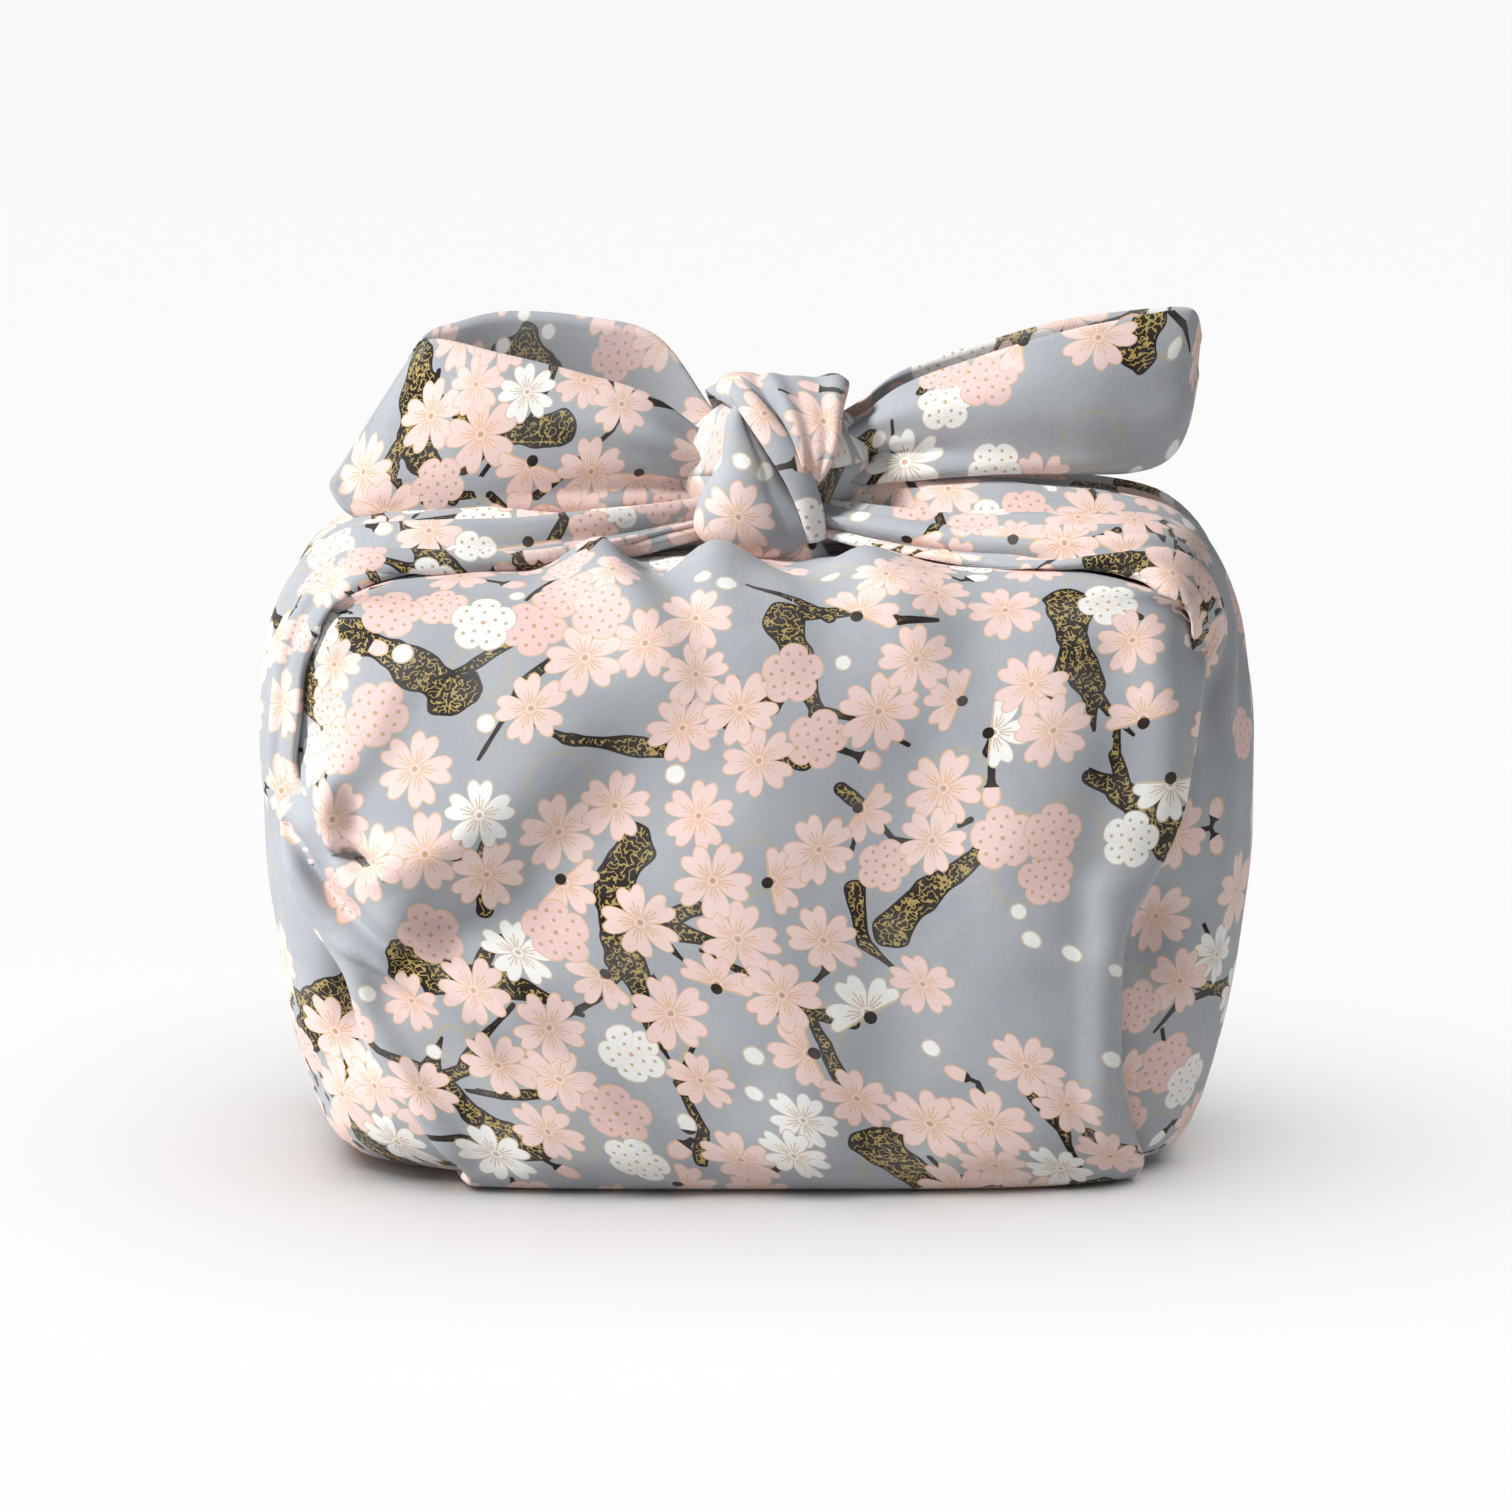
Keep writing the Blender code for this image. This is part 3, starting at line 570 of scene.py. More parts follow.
knot = {
    "centre": (-9.0, 150.0),
    # angle up from straight ahead, middle x, half width, reach ahead and rise
    "band": (
        (-42, 9.6, 1.2, 14.0, 16.5),
        (-16, 9.6, 2.0, 15.4, 17.0),
        (2, 10.2, 4.8, 16.0, 17.5),
        (22, 9.6, 8.0, 16.0, 18.4),
        (45, 7.8, 10.6, 15.6, 19.4),
        (72, 4.8, 15.0, 15.0, 20.2),
        (104, 4.2, 15.0, 14.0, 19.6),
        (138, 3.8, 12.5, 14.0, 18.0),
        (172, 3.5, 10.0, 14.0, 17.0),
        (204, 3.5, 7.0, 13.5, 16.0),
    ),
    # height, left and right x, front y and back y
    "lobe": (
        (164.5, -4.2, -3.2, -17.5, -15.0),
        (161.0, -6.2, -1.8, -21.0, -15.5),
        (156.0, -6.9, 1.0, -23.6, -16.5),
        (151.6, -7.6, 3.6, -25.4, -17.0),
        (147.8, -10.6, 5.4, -26.8, -17.0),
        (142.8, -12.9, 8.8, -27.8, -17.0),
        (138.0, -13.3, 11.2, -27.8, -16.5),
        (134.2, -9.6, 10.6, -26.4, -16.0),
        (131.6, -4.2, 6.4, -24.0, -16.5),
        (130.4, -0.8, 2.6, -21.5, -18.0),
    ),
    # the strip's path with its width and thickness
    "strip": (
        (-7.5, -9.0, 166.0, 3.0, 2.5),
        (-4.5, -15.5, 167.6, 4.0, 2.8),
        (-0.5, -21.0, 163.6, 5.0, 2.8),
        (4.2, -24.2, 157.4, 5.6, 2.8),
        (8.6, -25.2, 150.4, 5.6, 2.6),
        (11.6, -24.6, 143.0, 5.0, 2.4),
        (13.0, -22.6, 136.0, 4.0, 2.2),
    ),
    # a small corner of the lower turn that shows below the strip
    "tab": (
        ((7, -20, 139), (10.5, -22, 138), (12.5, -19.5, 138.5)),
        ((5.5, -22.5, 133), (10.5, -24, 133.2), (14.5, -20.5, 134)),
        ((4, -21.5, 129.6), (10, -22.8, 129.0), (17, -19, 130)),
        ((5, -17, 128.6), (11, -18, 128.2), (18, -15, 129)),
    ),
    "core": (
        (-17, 148.5, 4.0, 5.0),
        (-13, 149.0, 8.0, 10.0),
        (-7, 149.5, 11.5, 14.5),
        (1, 150.0, 12.5, 16.0),
        (10, 150.5, 12.0, 15.5),
        (18, 151.0, 9.0, 11.5),
        (24, 152.0, 5.0, 6.5),
    ),
}


def bandSheet():
    rows = throughRows(knot["band"], 64)
    angle, middle, half, reach, rise = [rows[:, k][:, None] for k in range(5)]
    place = np.linspace(-1.0, 1.0, 34)[None, :]
    angle = np.radians(angle)
    out = 0.8 * np.cos(place * 1.5 * math.pi + 0.5 + angle * 0.5)
    out -= 1.5 * np.exp(-((place + 0.52 - 0.2 * angle) / 0.13) ** 2)
    out += 0.25 * np.cos(place * 4.1 * math.pi + angle * 1.3)
    out -= 2.2 * np.abs(place) ** 7
    y = knot["centre"][0] - (reach + out) * np.cos(angle)
    z = knot["centre"][1] + (rise + out) * np.sin(angle)
    x = middle + half * place + 0 * y
    return np.stack([x, y, z], axis=2)


def lobeSheet():
    rows = throughRows(knot["lobe"], 44)
    z, left, right, ahead, behind = [rows[:, k][:, None] for k in range(5)]
    angle = np.linspace(-math.pi, math.pi, 45)[None, :]
    middleX = 0.5 * (left + right)
    middleY = 0.5 * (ahead + behind)
    crease = 1 + 0.05 * np.cos(3 * angle + 1.0) - 0.10 * np.exp(-((angle - 0.75) / 0.2) ** 2)
    x = middleX + 0.5 * (right - left) * np.sin(angle) * crease
    y = middleY + 0.5 * (ahead - behind) * np.cos(angle) * crease
    return np.stack([x, y, z + 0 * x], axis=2)


def stripSheet():
    rows = throughRows(knot["strip"], 40)
    run = np.gradient(rows[:, :3], axis=0)
    run /= np.linalg.norm(run, axis=1)[:, None]
    centre = np.array([4.0, knot["centre"][0], knot["centre"][1]])
    out = rows[:, :3] - centre
    out -= np.sum(out * run, axis=1)[:, None] * run
    out /= np.linalg.norm(out, axis=1)[:, None]
    wide = np.cross(run, out)
    angle = np.linspace(-math.pi, math.pi, 19)
    ring = rows[:, None, :3] + wide[:, None, :] * (0.5 * rows[:, 3][:, None] * np.sin(angle))[:, :, None]
    return ring + out[:, None, :] * (0.5 * rows[:, 4][:, None] * np.cos(angle))[:, :, None]


def coreSheet():
    rows = throughRows(knot["core"], 26)
    x, height, deep, tall = [rows[:, k][:, None] for k in range(4)]
    angle = np.linspace(-math.pi, math.pi, 41)[None, :]
    fold = 1 - 0.05 * (0.5 + 0.5 * np.cos(5 * angle + x * 0.05))
    y = knot["centre"][0] + deep * fold * np.cos(angle)
    z = height + tall * fold * np.sin(angle)
    return np.stack([x + 0 * y, y, z], axis=2)


# One mesh from all the folded sheets of the cloth

def layCloth(name, sheets):
    points = []
    faces = []
    places = []
    start = 0
    for grid, flat in sheets:
        rows, columns = grid.shape[:2]
        index = start + np.arange(rows * columns).reshape(rows, columns)
        quads = np.stack([index[:-1, :-1], index[1:, :-1], index[1:, 1:], index[:-1, 1:]], axis=2)
        points.append(grid.reshape(-1, 3) * mm)
        places.append(flat.reshape(-1, 2))
        faces.append(quads.reshape(-1, 4))
        start += rows * columns
    points = np.concatenate(points)
    places = np.concatenate(places)
    faces = np.concatenate(faces)
    mesh = bpy.data.meshes.new(name)
    mesh.from_pydata(points.tolist(), [], faces.tolist())
    layer = mesh.uv_layers.new(name="cloth")
    layer.data.foreach_set("uv", places[faces.ravel()].astype(np.float32).ravel())
    mesh.shade_smooth()
    cloth = bpy.data.objects.new(name, mesh)
    bpy.context.scene.collection.objects.link(cloth)
    return cloth, places[faces]


def facing(grid, towards, across=0.5):
    # Turn a sheet so that its printed face looks the given way, part of the way across
    normals = gridNormals(grid)
    middle = normals[len(grid) // 2, int(across * grid.shape[1])]
    return grid if float(np.dot(middle, towards)) > 0 else grid[:, ::-1]


# The back panel is the front one turned round, with its own soft folds

def backRow(s, y, z, left, right):
    if s <= 20:
        return s, -0.99 * y, z, -right, -left
    edge = left + 4
    return s, -0.99 * y, z, edge, -edge


backPanel = dict(panel)
backPanel.update({
    "rows": tuple(backRow(*row) for row in panel["rows"][:19]) + (
        # the back corner turned down inside, short of the front panel's edge
        (151, 35.0, 130.4, -81, 81),
        (154, 33.2, 129.2, -78, 78),
        (157, 33.4, 127.4, -76, 76),
        (166, 41.0, 124.5, -76, 76),
        (180, 50.0, 116.0, -76, 76),
        (200, 54.0, 97.0, -76, 76),
        (225, 55.0, 72.0, -76, 76),
        (250, 55.0, 47.0, -70, 70),
        (275, 54.0, 22.0, -62, 62),
    ),
    "folds": (
        (((-90, 100), (-70, 70), (-48, 40), (-30, 10)), (1.6, 0.8), (12, 14), 0.3),
        (((92, 96), (74, 66), (52, 38), (28, 8)), (1.8, 0.8), (12, 14), 0.3),
        (((-30, 150), (-28, 120), (-16, 90)), (-1.4, -0.6), (12, 12), 0.1),
        (((26, 150), (24, 120), (12, 92)), (2.0, 0.6), (12, 12), 0.2),
        (((0, 150), (2, 128)), (1.6, 0.4), (12, 12), 0.2),
        (((60, 118), (70, 90), (72, 60)), (1.0, 0.5), (12, 12), 0.1),
    ),
    "dents": (),
    "outward": -1.0,
    "seed": 7,
    "dives": ((-83.0, 12.0, 76, 88, 7.0), (83.0, 12.0, 76, 88, 7.0)),
    "spacing": ((-8, 6.0), (122, 2.6), (160, 1.8), (400, 8.0)),
    "closeTo": 0.5,
    "columns": (24, 24),
    "tuckSteps": 6,
})

# where the middle of each sheet's foot lies on the flat cloth, and the knot's steps there
flatAt = {
    "gore": (86, 0),
    "ear": (330, 30),
    "knot": (60, 300),
    "knotStep": (-45, -20),
}

sheets = []
frontGrid = facing(panelSheet(panel), (0, -1, 0))
sheets.append((frontGrid, flatPlaces(frontGrid, frontGrid.shape[1] // 2, (0, 0), 180)))
backGrid = facing(panelSheet(backPanel), (0, 1, 0))
sheets.append((backGrid, flatPlaces(backGrid, backGrid.shape[1] // 2, (0, 0), 0)))
for side, sign in (("left", -1), ("right", 1)):
    gore = facing(goreSheet(side), (sign, 0, 0.3))
    place = [sign * length for length in flatAt["gore"]]
    sheets.append((gore, flatPlaces(gore, gore.shape[1] // 2, place, -90 * sign)))
    ear = facing(earSheet(side), (0, -1, 0), 0.25)
    place = [sign * length for length in flatAt["ear"]]
    sheets.append((ear, flatPlaces(ear, ear.shape[1] // 2, place, -90 * sign)))
for number, (sheet, towards) in enumerate((
    (bandSheet(), (0, -1, 1)),
    (lobeSheet(), (0, -1, 0)),
    (stripSheet(), (0, -1, 0)),
    (throughNet(knot["tab"], 16, 14), (0, -1, 0)),
    (coreSheet(), (0, -1, 0)),
)):
    sheet = facing(sheet, towards)
    place = [start + step * number for start, step in zip(flatAt["knot"], flatAt["knotStep"])]
    sheets.append((sheet, flatPlaces(sheet, sheet.shape[1] // 2, place, 0)))

cloth, facePlaces = layCloth("furoshiki_cloth", sheets)
laid = sum(polygon.area for polygon in cloth.data.polygons)
print("cloth laid:", len(cloth.data.polygons), "faces,", round(laid, 4), "square metres")

solidify = cloth.modifiers.new("thickness", "SOLIDIFY")
solidify.thickness = 0.0006
solidify.offset = 0.0
solidify.material_offset = 1


# The print: cherry and plum blossom on dark branches flecked with gold, laid out afresh
# on one repeat of the cloth, in millimetres. Kinds: 0 cherry, 1 plum, 2 bud, 3 half open.

printPlan = {
    "seed": 12,
    "repeat": (228.0, 246.0),
    "trunks": (4, 4),             # across and up the repeat
    "trunkRadius": (3.8, 6.4),
    "trunkSteps": (3, 5),
    "boughs": 46,
    "boughRadius": (1.1, 2.2),
    "boughSteps": (2, 4),
    "blossoms": 215,
    "clusters": 900,
    "clusterSize": (2, 8),
    "cherryRadius": (6.9, 8.9),
    "plumRadius": (5.8, 7.4),
    "spacing": 0.70,
    "offTrunks": 0.7,             # how often a blossom is kept off a thick branch
    "budGroups": 62,
    "budRadius": (2.5, 3.2),
    "beads": 150,
    "beadRadius": (1.8, 2.5),
    "bloomSlots": 5,
    "twigSlots": 3,
}


def shortWay(start, end):
    # From one place to another the shortest way round the repeat
    repeat = np.array(printPlan["repeat"])
    return (end - start + repeat / 2) % repeat - repeat / 2


def growBranch(draw, x, y, heading, radius, steps):
    # A run of tapering lengths that bend a little and end in a tip, with side branches
    parts = []
    for step in range(steps):
        last = step == steps - 1
        length = draw.uniform(6.5, 11.5) + 0.6 * radius
        heading += draw.normal(0.0, 0.40)
        endX = x + length * math.cos(heading)
        endY = y + length * math.sin(heading)
        endRadius = 0.5 if last else max(radius * draw.uniform(0.6, 0.92), 0.7)
        parts.append((x, y, radius, endX, endY, endRadius))
        if radius > 2.4 and not last and draw.random() < 0.75:
            side = heading + draw.choice((-1, 1)) * draw.uniform(0.5, 1.2)
            parts += growBranch(draw, endX, endY, side, 0.5 * endRadius, 2)
        x, y, radius = endX, endY, endRadius
    return parts


def layPrint():
    draw = np.random.default_rng(printPlan["seed"])
    wide, high = printPlan["repeat"]
    acrossCount, upCount = printPlan["trunks"]
    twigs = []
    for row in range(upCount):
        for column in range(acrossCount):
            x = (column + 0.5 * (row % 2) + draw.uniform(-0.25, 0.25)) * wide / acrossCount
            y = (row + draw.uniform(-0.25, 0.25)) * high / upCount
            radius = draw.uniform(*printPlan["trunkRadius"])
            steps = int(draw.integers(*printPlan["trunkSteps"]))
            twigs += growBranch(draw, x, y, draw.uniform(0.0, 2 * math.pi), radius, steps)
    for _ in range(printPlan["boughs"]):
        x, y = draw.uniform(0.0, wide), draw.uniform(0.0, high)
        radius = draw.uniform(*printPlan["boughRadius"])
        steps = int(draw.integers(*printPlan["boughSteps"]))
        twigs += growBranch(draw, x, y, draw.uniform(0.0, 2 * math.pi), radius, steps)
    blooms = []

    def clearOf(spot, radius, spacing):
        if not blooms:
            return True
        others = np.array(blooms)
        away = shortWay(others[:, :2], spot)
        return bool(np.all(np.hypot(away[:, 0], away[:, 1]) > spacing * (radius + others[:, 3])))

    thick = np.array([twig for twig in twigs if twig[2] > 2.2])

    def onTrunk(spot):
        away = -shortWay(thick[:, :2], spot)
        run = thick[:, 3:5] - thick[:, :2]
        along = np.clip(-np.sum(away * run, axis=1) / np.sum(run * run, axis=1), 0.0, 1.0)
        gap = np.linalg.norm(away + along[:, None] * run, axis=1)
        return bool(np.any(gap < thick[:, 2] + 2.0))

    for _ in range(printPlan["clusters"]):
        # a cluster starts on a branch and grows outward
        start = twigs[int(draw.integers(len(twigs)))]
        spot = np.array([start[3], start[4]]) + draw.normal(0.0, 5.0, 2)
        mostlyPlum = draw.random() < 0.25
        for _ in range(int(draw.integers(*printPlan["clusterSize"]))):
            plum = draw.random() < (0.75 if mostlyPlum else 0.15)
            radius = draw.uniform(*printPlan["plumRadius" if plum else "cherryRadius"])
            turn = draw.uniform(0.0, 2 * math.pi)
            kind = 1.0 if plum else (3.0 if draw.random() < 0.16 else 0.0)
            white = draw.random() < (0.38 if plum else 0.10)
            tint = 1.0 if white else (draw.uniform(0.3, 0.6) if plum else draw.uniform(0.0, 0.25))
            kept = draw.random() > printPlan["offTrunks"] or not onTrunk(spot)
            if len(blooms) < printPlan["blossoms"] and kept and clearOf(spot, radius, printPlan["spacing"]):
                blooms.append((spot[0], spot[1], turn, radius, kind, tint))
            step = draw.uniform(0.0, 2 * math.pi)
            spot = spot + 1.5 * radius * np.array([math.cos(step), math.sin(step)])
    print("print:", len(blooms), "blossoms on", len(twigs), "lengths of branch")
    hosts = list(blooms)
    for _ in range(printPlan["budGroups"]):
        # two or three buds on short stems beside a blossom
        host = hosts[int(draw.integers(len(hosts)))]
        heading = draw.uniform(0.0, 2 * math.pi)
        way = np.array([math.cos(heading), math.sin(heading)])
        root = np.array(host[:2]) + (0.86 * host[3]) * way
        fork = root + 2.6 * way
        twigs.append((root[0], root[1], 0.7, fork[0], fork[1], 0.7))
        for lean in draw.permutation((-1.15, 0.0, 1.15))[:int(draw.integers(2, 4))]:
            radius = draw.uniform(*printPlan["budRadius"])
            way = np.array([math.cos(heading + lean), math.sin(heading + lean)])
            spot = fork + (radius + 1.3) * way
            if clearOf(spot, radius, 0.86):
                twigs.append((fork[0], fork[1], 0.6, *(fork + 1.9 * way), 0.9))
                tint = 1.0 if draw.random() < 0.3 else draw.uniform(0.0, 0.3)
                blooms.append((spot[0], spot[1], heading + lean, radius, 2.0, tint))
    for _ in range(printPlan["beads"]):
        spot = draw.uniform(0.0, 1.0, 2) * np.array([wide, high])
        radius = draw.uniform(*printPlan["beadRadius"])
        if clearOf(spot, radius, 0.95):
            blooms.append((spot[0], spot[1], 0.0, radius, 4.0, 1.0))
    order = draw.permutation(len(blooms))
    return [blooms[k] for k in order], twigs


def markCloth(cloth, facePlaces):
    # Give each face the few blossoms and twigs that cross it, the topmost in the last slot
    blooms, twigs = layPrint()
    corners = facePlaces / mm
    middle = corners.mean(axis=1)
    reach = np.linalg.norm(corners - middle[:, None], axis=2).max(axis=1)
    count = len(middle)
    slots = printPlan["bloomSlots"]
    # a slot that isn't used holds a mark far off the cloth
    place = np.zeros((slots, count, 3), dtype=np.float32)
    look = np.zeros((slots, count, 3), dtype=np.float32)
    place[:, :, :2] = 1e3
    look[:, :, 0] = mm
    used = np.zeros(count, dtype=int)
    for x, y, turn, radius, kind, tint in blooms:
        away = shortWay(middle, np.array([x, y]))
        near = np.nonzero((np.hypot(away[:, 0], away[:, 1]) < radius * 1.06 + reach) & (used < slots))[0]
        slot = slots - 1 - used[near]
        centre = (middle[near] + away[near]) * mm
        place[slot, near] = np.column_stack([centre, np.full(len(near), turn)])
        look[slot, near] = (radius * mm, kind, tint)
        used[near] += 1
    slots = printPlan["twigSlots"]
    first = np.zeros((slots, count, 3), dtype=np.float32)
    last = np.zeros((slots, count, 3), dtype=np.float32)
    first[:, :, :2] = 1e3
    last[:, :, :2] = 1.001e3
    used = np.zeros(count, dtype=int)
    for ax, ay, ra, bx, by, rb in sorted(twigs, key=lambda twig: -twig[2]):
        toStart = shortWay(middle, np.array([ax, ay]))
        run = np.array([bx - ax, by - ay])
        along = np.clip(-(toStart @ run) / (run @ run), 0.0, 1.0)
        gap = np.linalg.norm(toStart + along[:, None] * run, axis=1)
        near = np.nonzero((gap < max(ra, rb) + 1.2 + reach) & (used < slots))[0]
        slot = used[near]
        start = (middle[near] + toStart[near]) * mm
        first[slot, near] = np.column_stack([start, np.full(len(near), ra * mm)])
        last[slot, near] = np.column_stack([start + run * mm, np.full(len(near), rb * mm)])
        used[near] += 1
    for name, values in (("bloomPlace", place), ("bloomLook", look), ("twigStart", first), ("twigEnd", last)):
        for slot, rows in enumerate(values):
            layer = cloth.data.attributes.new(name + str(slot), "FLOAT_VECTOR", "FACE")
            layer.data.foreach_set("vector", rows.ravel())


# Node helpers

def feed(tree, socket, value):
    # A socket takes a fixed value, or a link from another node
    if isinstance(value, (int, float, tuple)):
        socket.default_value = value
    else:
        tree.links.new(value, socket)


def calc(tree, operation, *values, clamp=False):
    node = tree.nodes.new("ShaderNodeMath")
    node.operation = operation
    node.use_clamp = clamp
    for number, value in enumerate(values):
        feed(tree, node.inputs[number], value)
    return node.outputs[0]


def plus(tree, first, second):
    return calc(tree, "ADD", first, second)


def minus(tree, first, second):
    return calc(tree, "SUBTRACT", first, second)


def times(tree, first, second):
    return calc(tree, "MULTIPLY", first, second)


def larger(tree, first, second):
    return calc(tree, "MAXIMUM", first, second)


def hypotenuse(tree, x, y):
    return calc(tree, "SQRT", plus(tree, times(tree, x, x), times(tree, y, y)))


def move(tree, operation, *values):
    node = tree.nodes.new("ShaderNodeVectorMath")
    node.operation = operation
    for number, value in enumerate(values):
        feed(tree, node.inputs[number], value)
    return node.outputs["Value"] if operation in ("LENGTH", "DOT_PRODUCT") else node.outputs["Vector"]


def scaleBy(tree, vector, factor):
    node = tree.nodes.new("ShaderNodeVectorMath")
    node.operation = "SCALE"
    feed(tree, node.inputs[0], vector)
    feed(tree, node.inputs["Scale"], factor)
    return node.outputs["Vector"]


def turnBy(tree, vector, angle):
    node = tree.nodes.new("ShaderNodeVectorRotate")
    node.rotation_type = "Z_AXIS"
    feed(tree, node.inputs["Vector"], vector)
    feed(tree, node.inputs["Angle"], angle)
    return node.outputs["Vector"]


def ease(tree, value, low, high, start=0.0, end=1.0):
    node = tree.nodes.new("ShaderNodeMapRange")
    node.interpolation_type = "SMOOTHSTEP"
    tree.links.new(value, node.inputs["Value"])
    node.inputs["From Min"].default_value = low
    node.inputs["From Max"].default_value = high
    node.inputs["To Min"].default_value = start
    node.inputs["To Max"].default_value = end
    return node.outputs["Result"]


def blendColour(tree, factor, under, over):
    node = tree.nodes.new("ShaderNodeMix")
    node.data_type = "RGBA"
    for number, value in ((0, factor), (6, under), (7, over)):
        feed(tree, node.inputs[number], value)
    return node.outputs[2]


def blendValue(tree, factor, under, over):
    node = tree.nodes.new("ShaderNodeMix")
    node.data_type = "FLOAT"
    for number, value in ((0, factor), (2, under), (3, over)):
        feed(tree, node.inputs[number], value)
    return node.outputs[0]


def curveOf(tree, value, points):
    node = tree.nodes.new("ShaderNodeFloatCurve")
    tree.links.new(value, node.inputs["Value"])
    curve = node.mapping.curves[0]
    for number, point in enumerate(points):
        if number < 2:
            curve.points[number].location = point
        else:
            curve.points.new(*point)
    node.mapping.update()
    return node.outputs["Value"]


def rampOf(tree, value, stops):
    node = tree.nodes.new("ShaderNodeValToRGB")
    tree.links.new(value, node.inputs["Fac"])
    while len(node.color_ramp.elements) < len(stops):
        node.color_ramp.elements.new(0.5)
    for element, (position, ink) in zip(node.color_ramp.elements, stops):
        element.position = position
        element.color = ink
    return node.outputs["Color"]


def noiseOf(tree, spot, scale, detail, distortion=0.0):
    node = tree.nodes.new("ShaderNodeTexNoise")
    node.inputs["Scale"].default_value = scale
    node.inputs["Detail"].default_value = detail
    node.inputs["Distortion"].default_value = distortion
    tree.links.new(spot, node.inputs["Vector"])
    return node.outputs["Fac"]


def parts(tree, vector):
    node = tree.nodes.new("ShaderNodeSeparateXYZ")
    tree.links.new(vector, node.inputs[0])
    return node.outputs


def newGroup(name, takes, gives):
    tree = bpy.data.node_groups.new(name, "ShaderNodeTree")
    for label, kind in takes:
        tree.interface.new_socket(name=label, in_out="INPUT", socket_type="NodeSocket" + kind)
    for label, kind in gives:
        tree.interface.new_socket(name=label, in_out="OUTPUT", socket_type="NodeSocket" + kind)
    return tree, tree.nodes.new("NodeGroupInput"), tree.nodes.new("NodeGroupOutput")


def useGroup(tree, group, **links):
    node = tree.nodes.new("ShaderNodeGroup")
    node.node_tree = group
    for label, value in links.items():
        feed(tree, node.inputs[label], value)
    return node


def colour(red, green, blue):
    # A printed colour as it is seen, 0 to 255, made linear for the shader
    return tuple((part / 255.0) ** 2.2 for part in (red, green, blue)) + (1.0,)


inks = {
    "ground": colour(165, 169, 175),
    "pink": colour(240, 213, 206),
    "plum": colour(229, 195, 191),
    "white": colour(238, 238, 235),
    "gold": colour(221, 178, 132),
    "deepGold": colour(186, 146, 84),
    "bark": colour(36, 27, 21),
    "fleck": colour(176, 152, 88),
    "ring": colour(176, 170, 150),
}


finish = {
    "threadPitch": 0.00034,
    "weaveDepth": 0.00008,
    "wrinkleDepth": 0.0011,
    "roughness": 0.86,
    "giltRoughness": 0.52,
    "sheen": 0.12,
    "specular": 0.25,
    # how fine each uneven thing is, in repeats to the metre
    "ringScale": 34.0,
    "wrinkleScale": 45.0,
    "dyeScale": 60.0,
    "barkScale": 120.0,
    "fleckScale": 640.0,
    "slubScale": 900.0,
    # the paler ink of an uneven dye, and of the cloth's reverse
    "dyePale": colour(225, 225, 225),
    "reversePale": colour(196, 198, 202),
}


